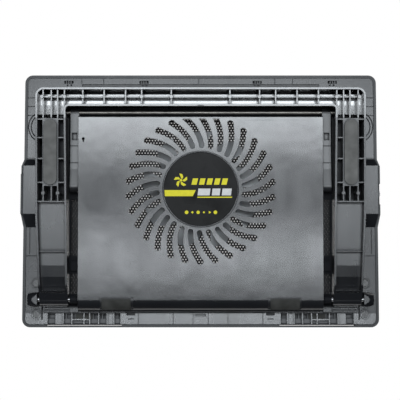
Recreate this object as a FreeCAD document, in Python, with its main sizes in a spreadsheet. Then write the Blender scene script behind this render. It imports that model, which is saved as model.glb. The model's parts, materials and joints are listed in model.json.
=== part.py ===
"""Laptop cooling pad with a tilting stand, built as the real one comes apart on a bench.

Every piece is drawn in one of three frames that share the hinge axis as their origin: the stand's
frame is level, the tray's frame leans by the wedge angle, and the fan cover's frame leans by a
little less, because the cover is a wedge itself. X runs across the pad, with the left side at +X,
Y runs from the user's edge to the rear and Z points up. Lengths are in millimetres.
"""
import FreeCAD, Part
import math
import os
import Sketcher
from FreeCAD import Placement, Rotation, Vector
from types import SimpleNamespace

# ---------------------------------------------------------------- driving dimensions
SIZES = {
    # the hinge and the three frames
    "hinge_height": 13.0,
    "hinge_back": 103.83,
    "wedge_angle": 4.5,
    "cover_lean": 2.2,
    # stand frame: a U of thin walls, open below
    "arm_outer": 171.8,
    "arm_outer_front": 168.2,
    "arm_inner": 140.5,
    "arm_inner_front": 138.6,
    "arm_taper_start": 88.0,
    "bar_rear": 221.6,
    "bar_front": 202.3,
    "stand_wall": 2.0,
    "stand_rise": 5.5,
    "stand_clearance": 1.5,
    "stand_corner": 8.5,
    "stand_inner_corner": 3.0,
    "rib_thickness": 1.4,
    "rib_recess": 0.8,
    "post_radius": 1.9,
    "arm_rib_outer": 163.8,
    "arm_rib_middle": 155.3,
    "arm_rib_inner": 148.7,
    "arm_solid_floor_end": 103.0,
    "arm_floor_level": -2.0,
    "bar_rib": 212.0,
    "bar_floor_level": 1.0,
    "barrel_radius": 6.5,
    # rubber feet
    "long_foot_width": 13.4,
    "long_foot_length": 67.6,
    "long_foot_middle": 154.4,
    "foot_thickness": 2.3,
    "front_foot_near": 72.8,
    "front_foot_far": 103.0,
    "front_foot_thickness": 1.6,
    "front_foot_sweep": 58.0,
    "front_foot_lead": 6.0,
    # hinge and prop
    "hinge_pin_radius": 2.5,
    "running_clearance": 0.05,
    "knuckle_near": 170.8,
    "knuckle_far": 181.2,
    "knuckle_radius": 9.3,
    "knuckle_tip_radius": 6.0,
    "inner_knuckle_near": 129.0,
    "inner_knuckle_far": 137.2,
    "inner_knuckle_radius": 4.2,
    "prop_pivot": 119.3,
    "prop_length": 78.8,
    "prop_ratio": 2.8,
    "tilt_limit": 38.0,
    "rod_radius": 2.25,
    "rod_half_length": 149.5,
    "leg_near": 129.0,
    "leg_far": 138.0,
    "leg_eye_radius": 6.0,
    "leg_foot_radius": 3.8,
    "prop_pin_radius": 2.0,
    "rack_clearance": 0.5,
    "rack_edge": 150.4,
    "notch_depth": 1.6,
    # tray: base shell and top bezel
    "tray_half_width": 189.0,
    "tray_front": -29.5,
    "tray_rear": 240.5,
    "tray_corner": 8.5,
    "lip_level": 10.5,
    "tray_top": 19.5,
    "skirt": 2.9,
    "seam": 0.3,
    "shell_wall": 2.0,
    "shell_rim_top": 16.3,
    "air_opening": 118.0,
    "air_opening_front": -2.0,
    "air_opening_rear": 189.4,
    "pod_half_width": 192.0,
    "pod_near": 173.6,
    "pod_front": 76.5,
    "pod_rear": 149.0,
    "pod_slope": 14.0,
    "pod_level": 4.0,
    "groove": 0.6,
    "mesh_opening": 168.0,
    "mesh_opening_front": 4.0,
    "mesh_opening_rear": 227.0,
    "mesh_thickness": 1.0,
    "mesh_margin": 2.5,
    "bezel_plate": 2.0,
    # fan cover
    "cover_half_width": 127.75,
    "cover_rear": 192.0,
    "cover_roll": 12.2,
    "cover_rear_corner": 1.2,
    "cover_wall": 2.2,
    "fan_middle": 115.5,
    "slot_inner_radius": 45.7,
    "slot_middle_radius": 61.0,
    "slot_outer_radius": 75.0,
    "slot_bend": 5.5,
    "slot_turn": 12.9,
    "slot_inner_width": 5.5,
    "slot_outer_width": 7.2,
    "slot_start": 103.3,
    "label_radius": 38.4,
    "label_thickness": 0.4,
    # fan
    "blade_tip": 62.0,
    "hub_radius": 33.0,
    "hub_wall": 2.5,
    "rotor_low": -6.0,
    "rotor_high": 11.0,
    "blade_chord": 25.0,
    "blade_thickness": 1.8,
    "blade_pitch": 38.0,
    "magnet_thickness": 2.2,
    "stator_radius": 27.6,
    "stator_low": -6.0,
    "stator_high": 3.0,
    "shaft_radius": 1.5,
    "bearing_radius": 4.5,
    # laptop retainers
    "retainer_near": 84.0,
    "retainer_far": 163.0,
    "retainer_axis": -25.2,
    "retainer_axis_level": 17.0,
    "retainer_reach": 10.7,
    "retainer_low": 14.2,
    "retainer_high": 19.2,
    "retainer_pin_radius": 1.2,
    "retainer_gap": 0.5,
    "cheek_thickness": 2.0,
    "grip_thickness": 0.7,
    # electronics
    "board_level": 7.6,
    "board_thickness": 1.4,
    "socket_width": 14.4,
    "socket_height": 7.0,
    "socket_depth": 13.5,
    "dial_radius": 8.0,
    "dial_thickness": 3.6,
    "dial_middle": 112.0,
    "dial_axis": 183.9,
    "dial_scoop": 1.7,
    "dial_level": 10.4,
    # screws
    "screw_head_radius": 3.4,
    "screw_head": 1.7,
    "screw_shank_radius": 1.4,
    "boss_radius": 4.8,
}
ABOVE = 60.0  # a level well above every piece, for cuts that run out through the top
SLOT_COUNT = 30
BLADE_COUNT = 9
POLE_COUNT = 6
TILT_SETTINGS = (21.0, 27.0, 33.0, 38.0)
LEFT, RIGHT = 1, -1
SIDES = ((LEFT, "left"), (RIGHT, "right"))

doc = FreeCAD.newDocument("cooling_pad")
sheet = doc.addObject("Spreadsheet::Sheet", "sizes")
for row, (alias, number) in enumerate(SIZES.items(), start=1):
    sheet.set(f"A{row}", alias.replace("_", " "))
    sheet.set(f"B{row}", str(number))
    sheet.setAlias(f"B{row}", alias)
doc.recompute()


# ---------------------------------------------------------------- sizes that carry their formula
class Size:
    """A number together with the spreadsheet expression that gives it."""

    def __init__(self, value, text):
        self.value = value
        self.text = text

    def __add__(self, other):
        other = size(other)
        return Size(self.value + other.value, f"({self.text} + {other.text})")

    def __sub__(self, other):
        other = size(other)
        return Size(self.value - other.value, f"({self.text} - {other.text})")

    def __mul__(self, other):
        other = size(other)
        return Size(self.value * other.value, f"({self.text} * {other.text})")

    def __truediv__(self, other):
        other = size(other)
        return Size(self.value / other.value, f"({self.text} / {other.text})")

    def __neg__(self):
        return Size(-self.value, f"(0 - {self.text})")

    def __radd__(self, other):
        return size(other) + self

    def __rsub__(self, other):
        return size(other) - self

    def __rmul__(self, other):
        return size(other) * self


def size(number):
    """A plain number as a Size; a Size stays as it is."""
    return number if isinstance(number, Size) else Size(float(number), f"({float(number)})")


def tangent(angle):
    """The tangent of an angle in degrees."""
    return Size(math.tan(math.radians(angle.value)), f"tan({angle.text} * 1 deg)")


def cosine(angle):
    """The cosine of an angle in degrees."""
    return Size(math.cos(math.radians(angle.value)), f"cos({angle.text} * 1 deg)")


s = SimpleNamespace(
    **{alias: Size(float(sheet.get(alias)), "sizes." + alias) for alias in SIZES}
)
desk = -s.hinge_height
stand_low = desk + s.stand_clearance
cover_slope = s.wedge_angle - s.cover_lean


# ---------------------------------------------------------------- building blocks
AXIS_TURN = {
    "x": Rotation(Vector(0, 1, 0), Vector(0, 0, 1), Vector(1, 0, 0)),
    "y": Rotation(Vector(0, 0, 1), Vector(1, 0, 0), Vector(0, 1, 0)),
    "z": Rotation(),
}
ACROSS = {"x": "yz", "y": "zx", "z": "xy"}


def block(x, y, z):
    """A block between two planes on each axis."""
    solid = doc.addObject("Part::Box", "block")
    for axis, side, (low, high) in zip("xyz", ("Length", "Width", "Height"), (x, y, z)):
        solid.setExpression("Placement.Base." + axis, size(low).text)
        solid.setExpression(side, (size(high) - low).text)
    return solid


def span(side, near, far):
    """The X range between two distances from the middle plane, on one side of it."""
    return (size(near), size(far)) if side == LEFT else (-size(far), -size(near))


def bar(axis, radius, ends, centre, sweep=None):
    """A round bar along an axis between two planes, centred at the other two coordinates."""
    solid = doc.addObject("Part::Cylinder", "bar")
    solid.Placement = Placement(Vector(), AXIS_TURN[axis])
    low, high = size(ends[0]), size(ends[1])
    solid.setExpression("Radius", size(radius).text)
    solid.setExpression("Height", (high - low).text)
    solid.setExpression("Placement.Base." + axis, low.text)
    for name, value in zip(ACROSS[axis], centre):
        solid.setExpression("Placement.Base." + name, size(value).text)
    if sweep is not None:
        solid.setExpression("Angle", size(sweep).text)
    return solid


def prism(axis, corners, ends):
    """A solid with a straight-sided outline across one axis, extruded along it."""
    sketch = doc.addObject("Sketcher::SketchObject", "outline")
    sketch.Placement = Placement(Vector(), AXIS_TURN[axis])
    points = [(size(a), size(b)) for a, b in corners]
    vectors = [Vector(a.value, b.value, 0) for a, b in points]
    for start, end in zip(vectors, vectors[1:] + vectors[:1]):
        sketch.addGeometry(Part.LineSegment(start, end), False)
    for i, (a, b) in enumerate(points):
        following = (i + 1) % len(points)
        sketch.addConstraint(Sketcher.Constraint("Coincident", i, 2, following, 1))
        for kind, value in (("DistanceX", a), ("DistanceY", b)):
            if value.value < 0:
                limit = Sketcher.Constraint(kind, i, 1, -1, 1, -value.value)
                value = -value
            else:
                limit = Sketcher.Constraint(kind, -1, 1, i, 1, value.value)
            sketch.setExpression(f"Constraints[{sketch.addConstraint(limit)}]", value.text)
    low, high = size(ends[0]), size(ends[1])
    sketch.setExpression("Placement.Base." + axis, low.text)
    solid = doc.addObject("Part::Extrusion", "prism")
    solid.Base = sketch
    solid.DirMode = "Custom"
    solid.Dir = AXIS_TURN[axis].multVec(Vector(0, 0, 1))
    solid.setExpression("LengthFwd", (high - low).text)
    solid.Solid = True
    return solid


def join(*solids):
    """Several solids as one."""
    if len(solids) == 1:
        return solids[0]
    joined = doc.addObject("Part::MultiFuse", "join")
    joined.Shapes = list(solids)
    return joined


def cut(base, *tools):
    """A solid with others taken away."""
    result = doc.addObject("Part::Cut", "cut")
    result.Base = base
    result.Tool = join(*tools)
    return result


def common(*solids):
    """What several solids share."""
    result = doc.addObject("Part::MultiCommon", "common")
    result.Shapes = list(solids)
    return result


def fillet(solid, radius, chosen):
    """A solid with the edges that pass a test rounded."""
    doc.recompute()
    rounded = doc.addObject("Part::Fillet", "fillet")
    rounded.Base = solid
    edges = enumerate(solid.Shape.Edges, start=1)
    rounded.Edges = [(i, size(radius).value, size(radius).value) for i, e in edges if chosen(e)]
    return rounded


def runs_along(edge, axis):
    """Whether an edge is straight and parallel to an axis."""
    first, last = edge.Vertexes[0].Point, edge.Vertexes[-1].Point
    others = [name for name in "xyz" if name != axis]
    return all(abs(getattr(first, name) - getattr(last, name)) < 1e-6 for name in others)


def passes(edge, **places):
    """Whether an edge's middle lies at the given coordinates, ignoring the sign of X."""
    middle = edge.CenterOfMass
    seen = {"x": abs(middle.x), "y": middle.y, "z": middle.z}
    return all(abs(seen[axis] - size(value).value) < 0.02 for axis, value in places.items())


def shaped(shape):
    """A shape made with Part's own functions, as an object of the document."""
    feature = doc.addObject("Part::Feature", "shaped")
    feature.Shape = shape
    return feature


FRAME_LEAN = {"stand": None, "tray": s.wedge_angle, "cover": s.cover_lean}
nodes = []


def piece(label, frame, *solids):
    """A finished piece: one or more separate solids under one name, set in its frame."""
    node = doc.addObject("Part::Compound", "piece")
    node.Label = label
    node.Links = list(solids)
    lean = FRAME_LEAN[frame]
    if lean is not None:
        node.Placement = Placement(Vector(), Rotation(Vector(1, 0, 0), lean.value))
        node.setExpression("Placement.Rotation.Angle", lean.text)
    node.setExpression("Placement.Base.y", (-s.hinge_back).text)
    node.setExpression("Placement.Base.z", s.hinge_height.text)
    nodes.append(node)
    return node


def on_leaning_plane(level, slope, y):
    """The height of a plane that leans by a slope, at a distance behind the hinge axis."""
    return size(level) / cosine(slope) + size(y) * tangent(slope)


# ---------------------------------------------------------------- stand frame
def stand_top(y):
    """The height of the stand's top skin, parallel to the tray."""
    return on_leaning_plane(s.stand_rise, s.wedge_angle, y)


def stand_plan(inset, low, high, corner, inner_corner):
    """The U seen from above, drawn in by an inset, between two levels."""
    front = -s.barrel_radius + inset
    outer = s.arm_outer - inset
    outer_front = s.arm_outer_front - inset
    inner = s.arm_inner + inset
    inner_front = s.arm_inner_front + inset
    rear = s.bar_rear - inset
    bar_front = s.bar_front + inset
    half = [
        (inner_front, front),
        (outer_front, front),
        (outer, s.arm_taper_start),
        (outer, rear),
    ]
    other_half = [(-x, y) for x, y in reversed(half)]
    corners = half + other_half + [(-inner, bar_front), (inner, bar_front)]
    plan = prism("z", corners, (low, high))
    plan = fillet(plan, corner, lambda e: runs_along(e, "z") and passes(e, x=outer, y=rear))
    return fillet(
        plan, inner_corner, lambda e: runs_along(e, "z") and passes(e, x=inner, y=bar_front)
    )


def rod_path(tilt):
    """Where the prop rod's centre is, in the stand's frame, when the tray is tilted by an angle."""
    tray = math.radians(s.wedge_angle.value + tilt)
    leg = math.radians(s.wedge_angle.value - (s.prop_ratio.value - 1) * tilt)
    pivot, length = s.prop_pivot.value, s.prop_length.value
    return Vector(
        0,
        pivot * math.cos(tray) + length * math.cos(leg),
        pivot * math.sin(tray) + length * math.sin(leg),
    )


def rack_space(near, far, margin):
    """The space above the rod's path, widened all round by a margin, between two X planes."""
    steps = 24
    reach = s.tilt_limit.value + 3.0
    step = reach / steps
    path = []
    for i in range(steps + 1):
        here = rod_path(step * i)
        ahead = (rod_path(step * i + 0.1) - here).normalize()
        path.append(here + Vector(0, -ahead.z, ahead.y) * margin)
    curve = Part.BSplineCurve()
    curve.interpolate(path)
    rear_end, front_end = path[0], path[-1]
    rear_top = Vector(0, rear_end.y, ABOVE)
    front_top = Vector(0, front_end.y, ABOVE)
    edges = [
        curve.toShape(),
        Part.makeLine(front_end, front_top),
        Part.makeLine(front_top, rear_top),
        Part.makeLine(rear_top, rear_end),
    ]
    face = Part.Face(Part.Wire(Part.__sortEdges__(edges)))
    solid = face.extrude(Vector(far - near, 0, 0))
    solid.translate(Vector(near, 0, 0))
    return solid


def mirrored(shape):
    """A shape and its mirror image on the pad's other side."""
    return Part.makeCompound([shape, shape.mirror(Vector(), Vector(1, 0, 0))])


envelope = prism(
    "x",
    [
        (0, -s.barrel_radius),
        (16, stand_low),
        (s.bar_rear, stand_low),
        (s.bar_rear, stand_top(s.bar_rear)),
        (0, stand_top(0)),
    ],
    (-s.arm_outer, s.arm_outer),
)
barrel = bar("x", s.barrel_radius, (-s.arm_outer, s.arm_outer), (0, 0))
stand_solid = common(
    stand_plan(0, desk, 60, s.stand_corner, s.stand_inner_corner),
    join(envelope, barrel),
)

hollow_plan = stand_plan(
    s.stand_wall,
    desk - 1,
    60,
    s.stand_corner - s.stand_wall,
    s.stand_inner_corner + s.stand_wall,
)
slope_start = s.bar_front + s.stand_wall
slope_end = s.bar_rib + 3.4
floor_fall = 0.8
ceiling_rear = s.bar_rear - s.stand_wall
# the arms' floor dips in front of the ribbed stretch and rises steeply to the barrel
hollow_side = prism(
    "x",
    [
        (s.barrel_radius + 1.5, desk - 1),
        (s.barrel_radius + 1.5, s.stand_wall),
        (14, -0.2),
        (24, s.arm_floor_level - 0.2),
        (36, s.arm_floor_level - 0.9),
        (52, s.arm_floor_level - 0.6),
        (s.arm_solid_floor_end, s.arm_floor_level),
        (s.arm_solid_floor_end, stand_top(s.arm_solid_floor_end) - s.stand_wall),
        (slope_start - 10, stand_top(slope_start - 10) - s.stand_wall),
        (slope_start - 10, s.bar_floor_level),
        (slope_start, s.bar_floor_level),
        (slope_end, s.bar_floor_level + floor_fall),
        (slope_end, stand_top(slope_end) - s.stand_wall),
        (ceiling_rear, stand_top(ceiling_rear) - s.stand_wall),
        (ceiling_rear, desk - 1),
    ],
    (-s.arm_outer, s.arm_outer),
)
rack_skin_top = s.rod_radius.value + s.rack_clearance.value + s.notch_depth.value + 1.6
under_rack = shaped(
    mirrored(rack_space(s.arm_inner.value - 4, s.rack_edge.value + 1.6, rack_skin_top))
)
behind_rack_skin = cut(common(hollow_plan, hollow_side), under_rack)

ribs = []
rib_low = stand_low + s.rib_recess
half_rib = s.rib_thickness / 2
for side, _ in SIDES:
    for x in (s.arm_rib_outer, s.arm_rib_inner):
        ribs.append(
            block(
                span(side, x - half_rib, x + half_rib),
                (s.arm_solid_floor_end, s.bar_rear),
                (rib_low, 60),
            )
        )
    middle = s.arm_rib_middle
    foot_front = s.long_foot_middle - s.long_foot_length / 2
    foot_rear = s.long_foot_middle + s.long_foot_length / 2
    for y in ((s.arm_solid_floor_end, foot_front), (foot_rear, s.bar_rear)):
        ribs.append(block(span(side, middle - half_rib, middle + half_rib), y, (rib_low, 60)))
    for y in (103.0, 122.9, 147.7, 169.5, 188.6):
        ribs.append(
            block(
                span(side, s.arm_inner, s.arm_outer),
                (y - half_rib, y + half_rib),
                (rib_low, 60),
            )
        )
    ribs.append(
        block(span(side, s.arm_inner_front, s.arm_outer), (50.3, 51.7), (rib_low + 2.5, 60))
    )
    ribs.append(block(span(side, s.arm_inner, s.arm_outer), (9.0, 10.4), (stand_low, 60)))
    # the shelf that backs the long foot
    ribs.append(
        block(
            span(side, s.arm_rib_inner, s.arm_rib_outer),
            (foot_front - 1.5, foot_rear + 1.5),
            (desk + s.foot_thickness, desk + s.foot_thickness + 1.6),
        )
    )
    for x in (30.5, 61.3, 78.0, 100.3, 122.5, 141.6):
        ribs.append(
            block(span(side, x - half_rib, x + half_rib), (s.bar_front, s.bar_rear), (rib_low, 60))
        )
    for x in (30.5, 61.3, 122.5, 141.6, 165.0):
        ribs.append(bar("z", s.post_radius, (stand_low, 60), (span(side, x, x)[0], s.bar_rib)))
    for x in (s.arm_rib_outer, s.arm_rib_inner):
        ribs.append(bar("z", s.post_radius, (stand_low, 60), (span(side, x, x)[0], 111.8)))
ribs.append(
    block(
        (-s.arm_rib_outer, s.arm_rib_outer),
        (s.bar_rib - 0.8, s.bar_rib + 0.8),
        (rib_low + 1.0, 60),
    )
)
stand_hollow = cut(behind_rack_skin, *ribs)

# the rod's channel in each arm's inner strip, with one notch for each tilt setting
channel = rack_space(
    s.arm_inner_front.value - 2,
    s.rack_edge.value,
    s.rod_radius.value + s.rack_clearance.value,
)
notches = []
for tilt in TILT_SETTINGS:
    seat = rod_path(tilt) - Vector(0, 0, s.notch_depth.value)
    seat.x = s.arm_inner_front.value - 2
    notches.append(
        Part.makeCylinder(
            s.rod_radius.value + s.rack_clearance.value,
            s.rack_edge.value - seat.x,
            seat,
            Vector(1, 0, 0),
        )
    )
rack_cutter = shaped(mirrored(channel.multiFuse(notches)))

# the trough that keeps the crossbar's floor thin, open towards the tray
trough = common(
    stand_plan(s.stand_wall, desk, 80, 6.5, 5.0),
    prism(
        "x",
        [
            (slope_start, s.bar_floor_level + s.stand_wall),
            (slope_end - s.stand_wall, s.bar_floor_level + floor_fall + s.stand_wall),
            (slope_end - s.stand_wall, 80),
            (slope_start, 80),
        ],
        (-s.arm_inner + 4, s.arm_inner - 4),
    ),
)
# the same for the arms' low floor
dishes = [
    prism(
        "x",
        [
            (24, s.arm_floor_level - 0.2 + s.stand_wall),
            (36, s.arm_floor_level - 0.9 + s.stand_wall),
            (52, s.arm_floor_level - 0.6 + s.stand_wall),
            (s.arm_solid_floor_end - s.stand_wall, s.arm_floor_level + s.stand_wall),
            (s.arm_solid_floor_end - s.stand_wall, 80),
            (24, 80),
        ],
        span(side, s.arm_inner + 2.4, s.arm_outer_front - 2.4),
    )
    for side, _ in SIDES
]
hinge_bore = bar(
    "x",
    s.hinge_pin_radius + s.running_clearance,
    (-s.arm_outer - 1, s.arm_outer + 1),
    (0, 0),
)
nick = block((-3, 3), (s.bar_front - 1, s.bar_front + 0.8), (stand_low - 1, stand_low + 1.2))
piece(
    "stand_frame",
    "stand",
    cut(stand_solid, stand_hollow, rack_cutter, trough, *dishes, hinge_bore, nick),
)

# ---------------------------------------------------------------- rubber feet
for side, name in SIDES:
    middle_x = (s.arm_rib_outer + s.arm_rib_inner) / 2
    centre_x = span(side, middle_x, middle_x)[0]
    foot_radius = s.long_foot_width / 2
    straight = (s.long_foot_length - s.long_foot_width) / 2
    levels = (desk, desk + s.foot_thickness)
    piece(
        name + "_long_foot",
        "stand",
        join(
            block(
                (centre_x - foot_radius, centre_x + foot_radius),
                (s.long_foot_middle - straight, s.long_foot_middle + straight),
                levels,
            ),
            bar("z", foot_radius, levels, (centre_x, s.long_foot_middle - straight)),
            bar("z", foot_radius, levels, (centre_x, s.long_foot_middle + straight)),
        ),
    )


def roll_sector(radius, side, near, far, lead, sweep):
    """A sector of the cover's front roll: from a little behind its lowest line to its front."""
    solid = doc.addObject("Part::Cylinder", "sector")
    ends = span(side, near, far)
    # the cylinder's own X axis starts straight down, turned back by the lead
    turn = Rotation(Vector(1, 0, 0), size(lead).value).multiply(
        Rotation(Vector(0, 0, -1), Vector(0, -1, 0), Vector(-1, 0, 0))
    )
    solid.Placement = Placement(Vector(ends[1].value, 0, 0), turn)
    solid.setExpression("Placement.Base.x", ends[1].text)
    solid.setExpression("Radius", size(radius).text)
    solid.setExpression("Height", (ends[1] - ends[0]).text)
    solid.setExpression("Angle", size(sweep).text)
    return solid


for side, name in SIDES:
    piece(
        name + "_front_foot",
        "cover",
        cut(
            roll_sector(
                s.hinge_height,
                side,
                s.front_foot_near,
                s.front_foot_far,
                s.front_foot_lead,
                s.front_foot_sweep,
            ),
            bar(
                "x",
                s.hinge_height - s.front_foot_thickness,
                (-s.cover_half_width, s.cover_half_width),
                (0, 0),
            ),
        ),
    )

# ---------------------------------------------------------------- fan cover
def under_floor(y):
    """The height of the base shell's floor above the cover's frame."""
    return on_leaning_plane(s.lip_level, cover_slope, y)


def floor_place(y):
    """Where a line square to the cover, at a distance behind the axis, meets the shell's floor."""
    return size(y) * cosine(cover_slope) + under_floor(y) * tangent(cover_slope)


def cover_box(inset, lift):
    """The cover's outer shape, drawn in by an inset, up to the base shell's floor."""
    front = -s.cover_roll + inset
    rear = s.cover_rear - inset
    low = -s.cover_roll + inset
    corners = [
        (front, under_floor(front) + lift),
        (front, low),
        (rear, low),
        (rear, under_floor(rear) + lift),
    ]
    half = s.cover_half_width - inset
    box = prism("x", corners, (-half, half))
    box = fillet(box, -front, lambda e: runs_along(e, "x") and passes(e, y=front, z=low))
    return fillet(
        box,
        s.cover_rear_corner,
        lambda e: runs_along(e, "x") and passes(e, y=rear, z=low),
    )


def slot_ring():
    """The ring of curved slots: each leans as it runs outwards and widens a little."""

    def at(radius, angle, offset):
        """A point of the slot's centre line, moved sideways."""
        turned = math.radians(s.slot_start.value - angle)
        out = Vector(math.cos(turned), math.sin(turned), 0)
        return out * radius + Vector(-out.y, out.x, 0) * offset

    inner = s.slot_inner_width.value / 2
    outer = s.slot_outer_width.value / 2
    stations = (
        (s.slot_inner_radius.value, 0.0, inner),
        (s.slot_middle_radius.value, s.slot_bend.value, (inner + outer) / 2),
        (s.slot_outer_radius.value, s.slot_turn.value, outer),
    )
    left = [at(r, a, half) for r, a, half in stations]
    right = [at(r, a, -half) for r, a, half in stations]
    lean = 0.25
    inner_cap = at(s.slot_inner_radius.value - inner, -lean, 0)
    outer_cap = at(s.slot_outer_radius.value + outer, s.slot_turn.value + lean, 0)
    outline = Part.Wire(
        [
            Part.Arc(left[0], left[1], left[2]).toShape(),
            Part.Arc(left[2], outer_cap, right[2]).toShape(),
            Part.Arc(right[2], right[1], right[0]).toShape(),
            Part.Arc(right[0], inner_cap, left[0]).toShape(),
        ]
    )
    low = -s.cover_roll.value - 2
    slot = Part.Face(outline).extrude(Vector(0, 0, s.cover_wall.value + 4))
    slot.translate(Vector(0, s.fan_middle.value, low))
    centre = Vector(0, s.fan_middle.value, 0)
    slots = []
    for i in range(SLOT_COUNT):
        turned = slot.copy()
        turned.rotate(centre, Vector(0, 0, 1), 360.0 * i / SLOT_COUNT)
        slots.append(turned)
    return Part.makeCompound(slots)


cover_floor = -s.cover_roll + s.cover_wall
cover_shell = cut(cover_box(0, 0), cover_box(s.cover_wall, 5))
cover_bosses = []
cover_boss_places = [(x, y) for x in (-112, 112) for y in (22, 172)]
for x, y in cover_boss_places:
    cover_bosses.append(
        cut(
            bar("z", 4.0, (cover_floor - 0.5, under_floor(y) - 0.3), (x, y)),
            bar("z", s.screw_shank_radius, (cover_floor + 1, 60), (x, y)),
        )
    )
motor_boss = cut(
    bar("z", 9.0, (cover_floor - 0.5, cover_floor + 1.6), (0, s.fan_middle)),
    bar("z", s.bearing_radius, (cover_floor, 60), (0, s.fan_middle)),
)
label_recess = bar(
    "z",
    s.label_radius + 0.2,
    (-s.cover_roll - 1, -s.cover_roll + s.label_thickness),
    (0, s.fan_middle),
)
recesses = []
for side, _ in SIDES:
    recesses.append(
        cut(
            roll_sector(
                s.cover_roll + 1,
                side,
                s.front_foot_near - 2.6,
                s.front_foot_far + 1.8,
                s.front_foot_lead + 5,
                s.front_foot_sweep + 7,
            ),
            bar(
                "x",
                s.hinge_height - s.front_foot_thickness,
                (-s.cover_half_width, s.cover_half_width),
                (0, 0),
            ),
        )
    )
# the slots at the back stop short of the cover's rear wall
ahead_of_rear_wall = block(
    (-s.cover_half_width, s.cover_half_width),
    (0, s.cover_rear - s.cover_wall - 0.6),
    (-s.cover_roll - 2, s.cover_roll),
)
keyhole = join(
    bar("z", 1.5, (-s.cover_roll - 1, cover_floor + 1), (122.6, 168.2)),
    block((121.9, 123.3), (165.0, 168.2), (-s.cover_roll - 1, cover_floor + 1)),
)
# the prop pins pass through the cover's side walls; their height follows the tray's lean
pin_y = s.prop_pivot * cosine(cover_slope)
pin_z = s.prop_pivot * tangent(cover_slope)
pin_holes = bar(
    "x",
    s.prop_pin_radius + 0.4,
    (-s.cover_half_width - 1, s.cover_half_width + 1),
    (pin_y, pin_z),
)
piece(
    "fan_cover",
    "cover",
    join(
        cut(
            cover_shell,
            label_recess,
            *recesses,
            keyhole,
            pin_holes,
            common(shaped(slot_ring()), ahead_of_rear_wall),
        ),
        motor_boss,
        *cover_bosses,
    ),
)
piece(
    "cover_label",
    "cover",
    bar(
        "z",
        s.label_radius,
        (-s.cover_roll, -s.cover_roll + s.label_thickness),
        (0, s.fan_middle),
    ),
)

# ---------------------------------------------------------------- fan
fan_centre = (0, s.fan_middle)


def ring(outer, inner, levels, centre=fan_centre):
    """A flat ring about the fan's axis."""
    low, high = levels
    return cut(
        bar("z", outer, levels, centre),
        bar("z", inner, (size(low) - 1, size(high) + 1), centre),
    )


piece(
    "fan_bearing",
    "cover",
    ring(
        s.bearing_radius,
        s.shaft_radius + s.running_clearance,
        (cover_floor, s.stator_high + 3.0),
    ),
)
piece(
    "motor_board",
    "cover",
    ring(22.0, s.bearing_radius + 0.3, (cover_floor + 1.6, cover_floor + 2.8)),
)
pole_gaps = []
for i in range(POLE_COUNT):
    gap = block((-1.6, 1.6), (10, s.stator_radius + 2), (s.stator_low - 1, s.stator_high + 1))
    wide = block((-5.0, 5.0), (12, s.stator_radius - 3), (s.stator_low - 1, s.stator_high + 1))
    notch = join(gap, wide)
    turned = doc.addObject("Part::Compound", "turned")
    turned.Links = [notch]
    turned.Placement = Placement(
        Vector(0, s.fan_middle.value, 0), Rotation(Vector(0, 0, 1), 360.0 * i / POLE_COUNT)
    )
    turned.setExpression("Placement.Base.y", s.fan_middle.text)
    pole_gaps.append(turned)
piece(
    "fan_stator",
    "cover",
    cut(
        ring(s.stator_radius, s.bearing_radius, (s.stator_low, s.stator_high)),
        *pole_gaps,
    ),
)
coils = []
for i in range(POLE_COUNT):
    coil = cut(
        block((-8.0, 8.0), (12.5, s.stator_radius - 4), (s.stator_low - 0.9, s.stator_high + 1.4)),
        block((-20, 20), (10, 40), (s.stator_low, s.stator_high)),
    )
    turned = doc.addObject("Part::Compound", "turned")
    turned.Links = [coil]
    turned.Placement = Placement(
        Vector(0, s.fan_middle.value, 0),
        Rotation(Vector(0, 0, 1), 360.0 * (i + 0.5) / POLE_COUNT),
    )
    turned.setExpression("Placement.Base.y", s.fan_middle.text)
    coils.append(turned)
piece("stator_coils", "cover", *coils)

cup = cut(
    bar("z", s.hub_radius, (s.rotor_low, s.rotor_high), fan_centre),
    bar(
        "z",
        s.hub_radius - s.hub_wall,
        (s.rotor_low - 1, s.rotor_high - s.hub_wall),
        fan_centre,
    ),
)
shaft_socket = bar("z", 4.0, (s.rotor_high - s.hub_wall - 1.8, s.rotor_high), fan_centre)
blades = []
blade_ring = ring(s.blade_tip, s.hub_radius - 1.0, (s.rotor_low, s.rotor_high - 0.5))
for i in range(BLADE_COUNT):
    blade = block(
        (-s.blade_thickness / 2, s.blade_thickness / 2),
        (s.hub_radius - 2, s.blade_tip + 1),
        (-s.blade_chord / 2, s.blade_chord / 2),
    )
    pitched = doc.addObject("Part::Compound", "pitched")
    pitched.Links = [blade]
    pitched.Placement = Placement(
        Vector(0, s.fan_middle.value, 2.5),
        Rotation(Vector(0, 0, 1), 360.0 * i / BLADE_COUNT).multiply(
            Rotation(Vector(0, 1, 0), 90 - s.blade_pitch.value)
        ),
    )
    pitched.setExpression("Placement.Base.y", s.fan_middle.text)
    blades.append(pitched)
blade_set = common(blade_ring, join(*blades))
piece(
    "fan_rotor",
    "cover",
    cut(
        join(cup, shaft_socket, blade_set),
        bar("z", s.shaft_radius, (s.rotor_low, s.rotor_high - 1.2), fan_centre),
    ),
)
piece(
    "fan_magnet",
    "cover",
    ring(
        s.hub_radius - s.hub_wall,
        s.hub_radius - s.hub_wall - s.magnet_thickness,
        (s.rotor_low + 0.6, s.rotor_high - s.hub_wall - 2),
    ),
)
piece(
    "fan_shaft",
    "cover",
    bar("z", s.shaft_radius, (cover_floor + 0.6, s.rotor_high - 1.2), fan_centre),
)

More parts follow.
